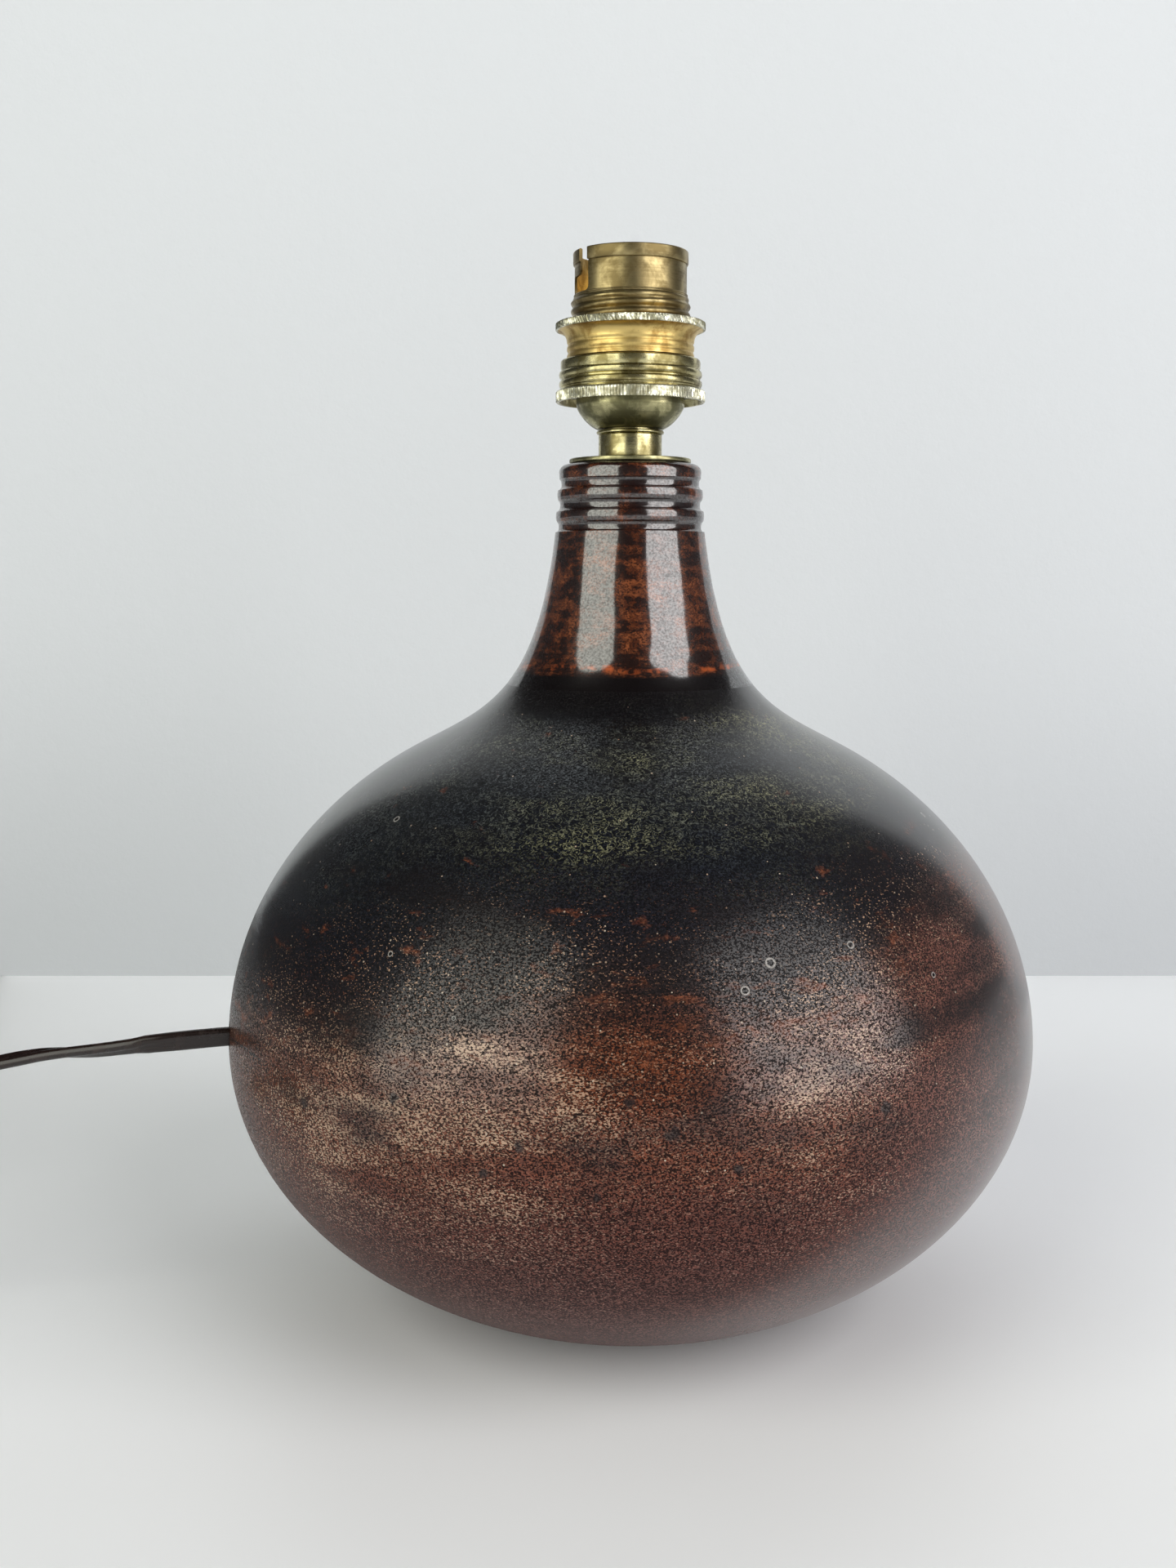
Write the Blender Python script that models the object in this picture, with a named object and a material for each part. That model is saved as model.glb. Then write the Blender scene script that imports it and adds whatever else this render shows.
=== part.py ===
# A stoneware ball lamp: a thrown and glazed stoneware vessel, a brass bayonet
# lampholder clamped in its neck, and a flat twin flex that leaves through a hole
# drilled in the ball and ends in an inline switch, a coil and a two-pin plug.
# Metres, +Z up. The origin is under the middle of the foot, the cord leaves
# towards -X, and the side that faces the viewer is -Y.

import math

import bmesh
import bpy
from mathutils import Matrix, Vector

MM = 0.001

# Fits shared by every piece
SEAT_GAP = 0.3 * MM
CUT_OVERRUN = 3.0 * MM

# The vessel, thrown as a squat ball with a flared neck
BALL_RADIUS = 95.0 * MM
EQUATOR_HEIGHT = 63.5 * MM
BOWL_BELOW_TABLE = 5.0 * MM
UPPER_BOWL_RISE = 80.0 * MM
VESSEL_WALL = 6.0 * MM
BASE_THICKNESS = 7.5 * MM
FOOT_RADIUS = 39.0 * MM
FOOT_RING_WIDTH = 9.0 * MM
FOOT_RECESS = 1.5 * MM
FOOT_BEVEL = 1.2 * MM
VESSEL_HEIGHT = 196.6 * MM
NECK_RADIUS = 17.5 * MM
NECK_TAPER = 0.9 * MM
FLARE_BOTTOM_RISE = 67.5 * MM
FLARE_BOTTOM_SHARE = 0.371
FLARE_TOP_SHARE = 0.774
FLARE_LEAN_SHARE = 0.12
NECK_ROLLS = 3
ROLL_PITCH = 4.9 * MM
ROLL_GROOVE = 2.1 * MM
ROLL_DEPTH = 0.45 * MM
TOP_ROLL_HEIGHT = 3.55 * MM
TOP_ROLL_ROUND = 1.8 * MM

# The hole drilled for the flex
CORD_HOLE_RADIUS = 3.5 * MM
CORD_HOLE_HEIGHT = 66.8 * MM
CORD_HOLE_TURN = 194.6

# The flat twin flex
CORD_WIDTH = 4.6 * MM
CORE_RADIUS = 0.9 * MM
CORE_SPACING = 2.4 * MM

# The tube, bar, washer and nut that clamp the lampholder to the neck
TUBE_RADIUS = 5.0 * MM
TUBE_BORE_RADIUS = 3.7 * MM
BAR_LENGTH = 38.0 * MM
BAR_WIDTH = 11.0 * MM
BAR_THICKNESS = 3.0 * MM
CLAMP_WASHER_RADIUS = 9.0 * MM
CLAMP_WASHER_THICKNESS = 1.2 * MM
NUT_FLATS = 14.0 * MM
NUT_THICKNESS = 5.0 * MM
TUBE_TAIL = 6.0 * MM
BUSH_LENGTH = 14.0 * MM
NECK_WASHER_RADIUS = 14.15 * MM
NECK_WASHER_THICKNESS = 1.0 * MM

# The turned collar that carries the dome
COLLAR_RADIUS = 7.35 * MM
COLLAR_HEIGHT = 6.2 * MM
COLLAR_BEAD = 0.5 * MM
COLLAR_BEAD_HEIGHT = 0.9 * MM
SPIGOT_RADIUS = 6.2 * MM
SPIGOT_HEAD_RADIUS = 7.4 * MM
SPIGOT_HEAD_THICKNESS = 0.9 * MM

# The spun dome with its threaded rim
SHEET = 0.9 * MM
DOME_RADIUS = 12.5 * MM
DOME_NECK_RADIUS = 7.7 * MM
DOME_ROUND_HEIGHT = 5.6 * MM
DOME_SPREAD = 1.9 * MM
DOME_LIFT = 0.6 * MM
DOME_RISE = 1.7 * MM
DOME_WALL_HEIGHT = 1.9 * MM
DOME_RIM_RADIUS = 14.9 * MM
DOME_RIM_HEIGHT = 4.6 * MM

# The lower ring, which clamps the barrel to the dome
RING_FLANGE_RADIUS = 17.25 * MM
RING_FLANGE_HEIGHT = 2.4 * MM
RING_FLANGE_LIP = 0.9 * MM
RING_SKIRT_RISE = 0.5 * MM
RING_BODY_RADIUS = 16.1 * MM
RING_BODY_HEIGHT = 9.5 * MM
RING_BEAD = 0.4 * MM
RING_BEADS = 2
RING_THREAD_PITCH = 2.1 * MM
RING_LIP_RADIUS = 14.0 * MM
RING_LIP_THICKNESS = 1.1 * MM
RING_LIP_ROUND = 0.8 * MM

# The bayonet barrel
BARREL_RADIUS = 12.85 * MM
BARREL_BORE_RADIUS = 11.5 * MM
BARREL_HEIGHT = 26.2 * MM
BARREL_FLANGE_RADIUS = 14.9 * MM
BARREL_FLANGE_THICKNESS = 0.8 * MM
HEM_HEIGHT = 2.8 * MM
HEM_STEP = 0.35 * MM
THREAD_ROOT_RADIUS = 13.2 * MM
THREAD_CREST_RADIUS = 13.7 * MM
THREAD_PITCH = 2.0 * MM
THREAD_TOP_DROP = 10.2 * MM
THREAD_CREST_COUNT = 6
SLOT_WIDTH = 2.5 * MM
SLOT_DEPTH = 9.4 * MM
SLOT_LEG_HEIGHT = 3.7 * MM
SLOT_LEG_LENGTH = 5.2 * MM
SLOT_ROUND = 1.1 * MM
SLOT_TURN = 213.7

# The upper ring, which screws down on a shade
SHADE_RING_HEIGHT = 8.0 * MM
SHADE_RING_RADIUS = 14.65 * MM
SHADE_RING_BORE_RADIUS = 13.95 * MM
SHADE_FLANGE_RADIUS = 17.25 * MM
SHADE_FLANGE_THICKNESS = 1.6 * MM
SHADE_FLARE_HEIGHT = 2.8 * MM
SHADE_GROOVE_DEPTH = 0.2 * MM
SHADE_GROOVES = 2

# The porcelain and the sprung contacts
PORCELAIN_RADIUS = 11.2 * MM
PORCELAIN_FOOT_RADIUS = 13.6 * MM
PORCELAIN_FOOT_HEIGHT = 3.9 * MM
PORCELAIN_DROP = 15.0 * MM
PORCELAIN_BEVEL = 0.6 * MM
CONTACT_SPACING = 11.0 * MM
CONTACT_TURN = 303.7
PLUNGER_RADIUS = 1.9 * MM
PLUNGER_FLANGE_RADIUS = 2.4 * MM
PLUNGER_FLANGE_THICKNESS = 1.5 * MM
PLUNGER_PROUD = 4.5 * MM
PLUNGER_ROUND = 0.8 * MM
PORCELAIN_LIP = 1.2 * MM
SPRING_RADIUS = 1.9 * MM
SPRING_WIRE_RADIUS = 0.25 * MM
SPRING_CURLS = 5
TERMINAL_STEM_HEIGHT = 2.4 * MM
TERMINAL_WIDTH = 5.0 * MM
TERMINAL_HEIGHT = 3.2 * MM
TERMINAL_SCREW_RADIUS = 0.8 * MM
TERMINAL_HEAD_RADIUS = 1.3 * MM
TERMINAL_HEAD_THICKNESS = 1.0 * MM

# The inline switch: two half shells, a rocker on a pivot and two contacts
SWITCH_LENGTH = 58.0 * MM
SWITCH_WIDTH = 22.0 * MM
SWITCH_BASE_HEIGHT = 7.0 * MM
SWITCH_COVER_HEIGHT = 7.2 * MM
SWITCH_CORNER = 8.0 * MM
SWITCH_EDGE = 1.5 * MM
SWITCH_WALL = 1.8 * MM
WINDOW_LENGTH = 16.8 * MM
WINDOW_WIDTH = 9.4 * MM
CHEEK_LENGTH = 20.0 * MM
ROCKER_CLEARANCE = 0.8 * MM
ROCKER_PROUD = 2.2 * MM
ROCKER_DISH = 0.9 * MM
ROCKER_DEPTH = 3.4 * MM
ROCKER_PIN_RADIUS = 1.1 * MM
ROCKER_PIN_LENGTH = 1.2 * MM
ROCKER_PIVOT_DROP = 2.6 * MM
ROCKER_TILT = 7.0
SWITCH_SCREW_RADIUS = 1.2 * MM
SWITCH_SCREW_LENGTH = 9.5 * MM
SWITCH_HEAD_RADIUS = 2.2 * MM
SWITCH_HEAD_THICKNESS = 1.4 * MM
CONTACT_STRIP_LENGTH = 13.0 * MM
CONTACT_STRIP_WIDTH = 4.0 * MM
CONTACT_STRIP_THICKNESS = 0.6 * MM
CONTACT_STRIP_RISE = 2.0 * MM

# The plug
PLUG_WIDTH = 35.3 * MM
PLUG_THICKNESS = 13.7 * MM
PLUG_FACE_INSET = 1.0 * MM
PLUG_GRIP_LENGTH = 13.0 * MM
PLUG_TAPER_LENGTH = 14.0 * MM
RELIEF_LENGTH = 20.0 * MM
RELIEF_ROOT_WIDTH = 9.4 * MM
RELIEF_ROOT_THICKNESS = 7.4 * MM
RELIEF_TIP_WIDTH = 6.4 * MM
RELIEF_TIP_THICKNESS = 5.2 * MM
RELIEF_RIBS = 4
RELIEF_RIB_DEPTH = 0.5 * MM
PIN_RADIUS = 2.0 * MM
PIN_LENGTH = 19.0 * MM
PIN_SPACING = 18.6 * MM
PIN_SEAT = 4.0 * MM
PIN_ROUND = 1.0 * MM

# The coil: two layers of turns, wound inwards and then outwards, and its tie
COIL_TURNS_PER_LAYER = 3.75
COIL_TURN_STEP = 5.1 * MM
COIL_INNER_RADIUS = 19.0 * MM
COIL_CENTRE = (-319.5 * MM, 13.0 * MM)
COIL_LEAD = 36.0 * MM
TAIL_LENGTH = 40.0 * MM
TIE_THICKNESS = 0.5 * MM
TIE_WIDTH = 9.0 * MM
TIE_ROUND = 2.8 * MM

# The free stretch of flex, chosen by hand from the hole down to the switch
RUN_ROUTE = (
    (-0.1080, -0.0268, 0.0660),
    (-0.1210, -0.0262, 0.0642),
    (-0.1370, -0.0243, 0.0622),
    (-0.1530, -0.0238, 0.0578),
    (-0.1680, -0.0240, 0.0480),
    (-0.1800, -0.0244, 0.0330),
    (-0.1910, -0.0250, 0.0178),
    (-0.2010, -0.0254, 0.0082),
    (-0.2105, -0.0253, 0.0062),
)

# The flex inside the vessel, from the hole up to the clamping tube
INNER_ROUTE = (
    (-0.0800, -0.0208, 0.0668),
    (-0.0660, -0.0170, 0.0652),
    (-0.0480, -0.0120, 0.0640),
    (-0.0300, -0.0070, 0.0700),
    (-0.0140, -0.0025, 0.0850),
    (-0.0040, -0.0004, 0.1030),
)

# How finely round things are drawn
BODY_SEGMENTS = 36
BRASS_SEGMENTS = 28
SMALL_SEGMENTS = 16
BOWL_STEPS = 8
INNER_STEPS = 6
FLARE_STEPS = 5
CORNER_STEPS = 3
COIL_STEPS = 24
CURL_STEPS = 8
LONG_STEP_SHARE = 2.3
LINE_SAMPLES = 24
LEAD_STEPS = 5
PLUG_SWELL_STEPS = 4
NUT_SIDES = 6
SHARP_ANGLE = 35
EDGE_ANGLE = 60


# Materials

def make_material(name, colour, roughness, metallic=0.0):
    material = bpy.data.materials.new(name)
    material.use_nodes = True
    shader = material.node_tree.nodes["Principled BSDF"]
    shader.inputs["Base Color"].default_value = (*colour, 1.0)
    shader.inputs["Roughness"].default_value = roughness
    shader.inputs["Metallic"].default_value = metallic
    material.diffuse_color = (*colour, 1.0)
    return material


# Outlines, as lists of points in a plane

def ellipse_arc(across, up, middle, start, end, steps):
    """Points of an elliptical arc around a middle, between two angles in degrees."""
    points = []
    for step in range(steps + 1):
        angle = math.radians(start + (end - start) * step / steps)
        points.append((middle[0] + across * math.cos(angle), middle[1] + up * math.sin(angle)))
    return points


def bezier(start, start_handle, end_handle, end, steps):
    points = []
    for step in range(steps + 1):
        t = step / steps
        weights = ((1 - t) ** 3, 3 * t * (1 - t) ** 2, 3 * t * t * (1 - t), t ** 3)
        corners = (start, start_handle, end_handle, end)
        points.append(tuple(sum(w * c[i] for w, c in zip(weights, corners)) for i in (0, 1)))
    return points


def rounded(corners, radius, steps=CORNER_STEPS):
    """A closed outline through these corners, each rounded to the radius."""
    points = []
    for index, corner in enumerate(corners):
        here = Vector(corner)
        before = Vector(corners[index - 1]) - here
        after = Vector(corners[(index + 1) % len(corners)]) - here
        cut = radius / math.tan(before.angle(after) / 2)
        first = here + before.normalized() * cut
        last = here + after.normalized() * cut
        for step in range(steps + 1):
            t = step / steps
            bend = first * (1 - t) ** 2 + here * 2 * t * (1 - t) + last * t * t
            points.append((bend.x, bend.y))
    return points


def box_corners(length, width):
    return (
        (length / 2, width / 2),
        (-length / 2, width / 2),
        (-length / 2, -width / 2),
        (length / 2, -width / 2),
    )


def beads(radius, swell, first, pitch, count):
    """A run of rolled beads on a turned wall, from the top of the run down."""
    points = [(radius, first)]
    for index in range(count):
        top = first - index * pitch
        points.append((radius + swell, top - pitch / 3))
        points.append((radius + swell, top - pitch * 2 / 3))
        points.append((radius, top - pitch))
    return points


# The vessel's side, which the clamping bar fits too

def vessel_side(inset, bottom, steps):
    """One side of the thrown wall, from a height near the base up to the neck."""
    middle = (0, EQUATOR_HEIGHT)
    across = BALL_RADIUS - inset
    low = EQUATOR_HEIGHT + BOWL_BELOW_TABLE - inset
    high = UPPER_BOWL_RISE - inset
    first = math.degrees(math.asin((bottom - EQUATOR_HEIGHT) / low))
    last = math.degrees(math.asin(FLARE_BOTTOM_RISE / high))
    lower = ellipse_arc(across, low, middle, first, 0, steps)
    upper = ellipse_arc(across, high, middle, 0, last, steps)
    start = Vector(upper[-1])
    lean = math.radians(last)
    slope = Vector((-across * math.sin(lean), high * math.cos(lean))).normalized()
    end = Vector((NECK_RADIUS - inset, neck_bottom()))
    rise = Vector((-FLARE_LEAN_SHARE, 1)).normalized()
    height = end.y - start.y
    leaving = start + slope * height * FLARE_BOTTOM_SHARE
    arriving = end - rise * height * FLARE_TOP_SHARE
    flare = bezier(start, leaving, arriving, end, FLARE_STEPS)
    return lower + upper[1:] + flare[1:]


def neck_bottom():
    return VESSEL_HEIGHT - TOP_ROLL_HEIGHT - ROLL_GROOVE - (NECK_ROLLS - 1) * ROLL_PITCH


def wall_height(radius):
    """How high the faceted inner wall under the shoulder closes in to a radius."""
    side = vessel_side(VESSEL_WALL, BASE_THICKNESS, INNER_STEPS)
    facet = math.cos(math.pi / BODY_SEGMENTS)
    for (outer, low), (inner, high) in zip(side, side[1:]):
        if low > EQUATOR_HEIGHT and inner * facet <= radius:
            return low + (high - low) * (outer * facet - radius) / ((outer - inner) * facet)
    return low


# Heights worked out from the sizes above, from the table up
NECK_WASHER_BOTTOM = VESSEL_HEIGHT + SEAT_GAP
COLLAR_BOTTOM = NECK_WASHER_BOTTOM + NECK_WASHER_THICKNESS + SEAT_GAP
COLLAR_TOP = COLLAR_BOTTOM + COLLAR_HEIGHT
DOME_BOTTOM = COLLAR_TOP + SEAT_GAP
DOME_SHOULDER = DOME_BOTTOM + DOME_ROUND_HEIGHT + DOME_WALL_HEIGHT
DOME_TOP = DOME_SHOULDER + SHEET + DOME_RIM_HEIGHT
BARREL_BOTTOM = DOME_TOP + SEAT_GAP
BARREL_TOP = BARREL_BOTTOM + BARREL_HEIGHT
RING_LIP_BOTTOM = BARREL_BOTTOM + BARREL_FLANGE_THICKNESS + SEAT_GAP
RING_TOP = RING_LIP_BOTTOM + RING_LIP_THICKNESS
RING_BOTTOM = RING_TOP - RING_BODY_HEIGHT
SHADE_RING_BOTTOM = RING_TOP + SEAT_GAP
SHADE_RING_TOP = SHADE_RING_BOTTOM + SHADE_RING_HEIGHT
PORCELAIN_TOP = BARREL_TOP - PORCELAIN_DROP
PORCELAIN_BOTTOM = DOME_SHOULDER + SHEET + SEAT_GAP
PLUNGER_TOP = PORCELAIN_TOP + PLUNGER_PROUD
PLUNGER_FLANGE_TOP = PORCELAIN_TOP - PORCELAIN_LIP - SEAT_GAP
PLUNGER_BOTTOM = PLUNGER_FLANGE_TOP - PLUNGER_FLANGE_THICKNESS
TERMINAL_TOP = PORCELAIN_BOTTOM + TERMINAL_STEM_HEIGHT
TERMINAL_BOTTOM = PORCELAIN_BOTTOM - SEAT_GAP - TERMINAL_HEIGHT
BAR_TOP = wall_height(BAR_LENGTH / 2 + SEAT_GAP)
CLAMP_WASHER_TOP = BAR_TOP - BAR_THICKNESS - SEAT_GAP
NUT_TOP = CLAMP_WASHER_TOP - CLAMP_WASHER_THICKNESS - SEAT_GAP
TUBE_BOTTOM = NUT_TOP - NUT_THICKNESS - TUBE_TAIL
TUBE_TOP = COLLAR_TOP + SHEET
NECK_BORE_RADIUS = NECK_RADIUS - VESSEL_WALL
CORD_RADIUS = CORD_WIDTH / 2
COIL_LAYER = TIE_THICKNESS + SEAT_GAP + CORD_RADIUS
COIL_OUTER_RADIUS = COIL_INNER_RADIUS + COIL_TURNS_PER_LAYER * COIL_TURN_STEP
SWITCH_MIDDLE = SWITCH_BASE_HEIGHT
PLUG_MIDDLE = PLUG_THICKNESS / 2


# Solids

def finish(mesh_data, name, material, smooth=True):
    """Turn a bmesh into an object of its own, shaded smooth but for its sharp edges."""
    bmesh.ops.remove_doubles(mesh_data, verts=mesh_data.verts, dist=1e-6)
    bmesh.ops.recalc_face_normals(mesh_data, faces=mesh_data.faces)
    mesh = bpy.data.meshes.new(name)
    mesh_data.to_mesh(mesh)
    mesh_data.free()
    piece = bpy.data.objects.new(name, mesh)
    bpy.context.scene.collection.objects.link(piece)
    mesh.materials.append(material)
    if smooth:
        mesh.shade_smooth()
        mesh.set_sharp_from_angle(angle=math.radians(SHARP_ANGLE))
    return piece


def turned(name, outline, material, segments=BRASS_SEGMENTS):
    """Spin an outline of (radius, height) points once around Z."""
    shape = bmesh.new()
    verts = [shape.verts.new((radius, 0, height)) for radius, height in outline]
    edges = [shape.edges.new(pair) for pair in zip(verts, verts[1:])]
    if outline[0][0] > 0:
        edges.append(shape.edges.new((verts[-1], verts[0])))
    bmesh.ops.spin(
        shape, geom=verts + edges, axis=(0, 0, 1), cent=(0, 0, 0), steps=segments,
        angle=math.tau, use_merge=True,
    )
    return finish(shape, name, material)


def prism(name, outline, bottom, top, material, smooth=True):
    """Extrude an outline of (x, y) points between two heights."""
    shape = bmesh.new()
    face = shape.faces.new([shape.verts.new((x, y, bottom)) for x, y in outline])
    grown = bmesh.ops.extrude_face_region(shape, geom=[face])["geom"]
    moved = [item for item in grown if isinstance(item, bmesh.types.BMVert)]
    bmesh.ops.translate(shape, verts=moved, vec=(0, 0, top - bottom))
    return finish(shape, name, material, smooth)


def lofted(name, sections, material):
    """Bridge a row of outlines, each given as a list of points in space, and close the ends."""
    shape = bmesh.new()
    rings = [[shape.verts.new(point) for point in section] for section in sections]
    for ring, following in zip(rings, rings[1:]):
        for index in range(len(ring)):
            beside = index - 1
            shape.faces.new((ring[beside], ring[index], following[index], following[beside]))
    shape.faces.new(rings[0])
    shape.faces.new(rings[-1])
    return finish(shape, name, material)


def tube(name, points, radius, sides, material):
    """A round tube with filled ends along a line of points."""
    curve = bpy.data.curves.new(name, "CURVE")
    curve.dimensions = "3D"
    curve.bevel_depth = radius
    curve.bevel_resolution = sides
    curve.use_fill_caps = True
    spline = curve.splines.new("POLY")
    spline.points.add(len(points) - 1)
    for place, point in zip(spline.points, points):
        place.co = (*point, 1.0)
    curve.materials.append(material)
    piece = bpy.data.objects.new(name, curve)
    bpy.context.scene.collection.objects.link(piece)
    return piece


def place(piece, spot=(0, 0, 0), turn=0.0, parent=None):
    """Stand a piece at a spot, turned about Z by some degrees."""
    piece.location = spot
    piece.rotation_euler = (0, 0, math.radians(turn))
    piece.parent = parent
    return piece


def empty(name, spot, turn):
    frame = bpy.data.objects.new(name, None)
    bpy.context.scene.collection.objects.link(frame)
    return place(frame, spot, turn)


def cut(piece, *cutters):
    """Take hidden cutters out of a piece."""
    for cutter in cutters:
        cutter.hide_render = True
        cutter.display_type = "WIRE"
        cutter.parent = piece.parent
        boolean = piece.modifiers.new(cutter.name, "BOOLEAN")
        boolean.operation = "DIFFERENCE"
        boolean.solver = "EXACT"
        boolean.object = cutter
    return piece


def drill(name, radius, start, end, material, segments=SMALL_SEGMENTS):
    """A round cutter from one point to another."""
    along = Vector(end) - Vector(start)
    shape = bmesh.new()
    bmesh.ops.create_cone(
        shape, cap_ends=True, segments=segments, radius1=radius, radius2=radius,
        depth=along.length,
    )
    turn = along.to_track_quat("Z", "Y").to_matrix().to_4x4()
    middle = Matrix.Translation((Vector(start) + Vector(end)) / 2)
    bmesh.ops.transform(shape, matrix=middle @ turn, verts=shape.verts)
    return finish(shape, name, material)


# Lines through space

def smooth_line(route, step):
    """Points about one step apart on a smooth curve whose first and last stretch is straight."""
    knots = [Vector(point) for point in route]
    fine = []
    for before, start, end, after in zip(knots, knots[1:], knots[2:], knots[3:]):
        for index in range(LINE_SAMPLES):
            t = index / LINE_SAMPLES
            fine.append(0.5 * (
                2 * start + (end - before) * t
                + (2 * before - 5 * start + 4 * end - after) * t * t
                + (3 * start - before - 3 * end + after) * t ** 3
            ))
    fine.append(knots[-2])
    total = sum((b - a).length for a, b in zip(fine, fine[1:]))
    count = max(2, round(total / step))
    points = [fine[0]]
    walked = 0.0
    for a, b in zip(fine, fine[1:]):
        length = (b - a).length
        while len(points) < count and walked + length >= len(points) * total / count:
            points.append(a.lerp(b, (len(points) * total / count - walked) / length))
        walked += length
    return [knots[0]] + points + [fine[-1], knots[-1]]


def line_length(points):
    return sum((b - a).length for a, b in zip(points, points[1:]))


def coil_line():
    """The turns of the coil, from the switch inwards, up a layer, and out to the plug."""
    centre = Vector((*COIL_CENTRE, 0))
    half = math.tau * COIL_TURNS_PER_LAYER
    front = centre.y - COIL_OUTER_RADIUS
    points = []
    for step in range(LEAD_STEPS):
        share = step / LEAD_STEPS
        drop = max(0.0, share * LEAD_STEPS - 1) / (LEAD_STEPS - 1)
        ease = drop * drop * (3 - 2 * drop)
        height = SWITCH_MIDDLE + (COIL_LAYER - SWITCH_MIDDLE) * ease
        points.append(Vector((centre.x + COIL_LEAD * (1 - share), front, height)))
    steps = round(2 * COIL_TURNS_PER_LAYER * COIL_STEPS)
    for step in range(steps + 1):
        wound = math.tau * step / COIL_STEPS
        radius = COIL_INNER_RADIUS + abs(half - wound) * COIL_TURN_STEP / math.tau
        climb = min(1.0, max(0.0, (wound - half) / math.pi + 0.5))
        height = COIL_LAYER + COIL_TURN_STEP * climb * climb * (3 - 2 * climb)
        angle = -math.pi / 2 - wound
        spoke = Vector((math.cos(angle), math.sin(angle), 0)) * radius
        points.append(centre + spoke + Vector((0, 0, height)))
    points.append(points[-1] + Vector((CORD_WIDTH, 0, 0)))
    return points


def least_gap(points, width):
    """How near a tube comes to itself, away from its own neighbouring stretch."""
    near = None
    apart = round(COIL_STEPS / 2)
    for i, (a, b) in enumerate(zip(points, points[1:])):
        for c, d in list(zip(points, points[1:]))[i + apart:]:
            for t in (0.0, 0.25, 0.5, 0.75, 1.0):
                spot = a.lerp(b, t)
                along = d - c
                share = min(1.0, max(0.0, (spot - c).dot(along) / along.length_squared))
                gap = (spot - c.lerp(d, share)).length - width
                near = gap if near is None else min(near, gap)
    return near


# The vessel

def neck_rolls():
    """The three grooves thrown into the neck, with rolls between them, from below."""
    points = []
    for index in range(NECK_ROLLS):
        low = neck_bottom() + index * ROLL_PITCH
        radius = NECK_RADIUS - NECK_TAPER * (index + 1) / NECK_ROLLS
        points.append((radius - ROLL_DEPTH, low + ROLL_DEPTH))
        points.append((radius - ROLL_DEPTH, low + ROLL_GROOVE - ROLL_DEPTH))
        points.append((radius - ROLL_DEPTH / 2, low + ROLL_GROOVE))
        points.append((radius, low + ROLL_GROOVE + ROLL_DEPTH))
        if index < NECK_ROLLS - 1:
            points.append((radius, low + ROLL_PITCH - ROLL_DEPTH))
            points.append((radius - ROLL_DEPTH / 2, low + ROLL_PITCH))
    return points


def stoneware_body(glaze):
    ring_inner = FOOT_RADIUS - FOOT_RING_WIDTH
    outer = vessel_side(0, FOOT_BEVEL, BOWL_STEPS)
    inner = vessel_side(VESSEL_WALL, BASE_THICKNESS, INNER_STEPS)
    top_radius = NECK_RADIUS - NECK_TAPER
    top = ellipse_arc(
        TOP_ROLL_ROUND, TOP_ROLL_ROUND,
        (top_radius - TOP_ROLL_ROUND, VESSEL_HEIGHT - TOP_ROLL_ROUND), 0, 90, CORNER_STEPS,
    )
    outline = [(0, FOOT_RECESS), (ring_inner, FOOT_RECESS), (ring_inner, 0), (FOOT_RADIUS, 0)]
    outline += outer + neck_rolls() + top
    outline += [(NECK_BORE_RADIUS, VESSEL_HEIGHT)] + inner[::-1] + [(0, BASE_THICKNESS)]
    body = turned("stoneware_body", outline, glaze, BODY_SEGMENTS)
    turn = math.radians(CORD_HOLE_TURN)
    outward = Vector((math.cos(turn), math.sin(turn), 0))
    height = Vector((0, 0, CORD_HOLE_HEIGHT))
    hole = drill(
        "cord_hole_cutter", CORD_HOLE_RADIUS,
        outward * (BALL_RADIUS - VESSEL_WALL - CUT_OVERRUN) + height,
        outward * (BALL_RADIUS + CUT_OVERRUN) + height, glaze,
    )
    return cut(body, hole)


# What clamps the lampholder to the neck

def neck_bush(rubber):
    outer = NECK_BORE_RADIUS - SEAT_GAP
    bore = TUBE_RADIUS + SEAT_GAP
    low = VESSEL_HEIGHT - BUSH_LENGTH
    outline = [(outer, VESSEL_HEIGHT), (outer, low), (bore, low), (bore, VESSEL_HEIGHT)]
    return turned("neck_bush", outline, rubber)


def washer(name, radius, thickness, bottom, metal):
    bore = TUBE_RADIUS + SEAT_GAP
    bevel = thickness / 4
    outline = [
        (bore, bottom), (radius - bevel, bottom), (radius, bottom + bevel),
        (radius, bottom + thickness - bevel), (radius - bevel, bottom + thickness),
        (bore, bottom + thickness),
    ]
    return turned(name, outline, metal)


def threaded_tube(metal):
    bevel = (TUBE_RADIUS - TUBE_BORE_RADIUS) / 3
    outline = [
        (TUBE_BORE_RADIUS, TUBE_BOTTOM), (TUBE_RADIUS - bevel, TUBE_BOTTOM),
        (TUBE_RADIUS, TUBE_BOTTOM + bevel), (TUBE_RADIUS, TUBE_TOP - bevel),
        (TUBE_RADIUS - bevel, TUBE_TOP), (TUBE_BORE_RADIUS, TUBE_TOP),
    ]
    return turned("threaded_tube", outline, metal, 2 * SMALL_SEGMENTS)


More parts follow.
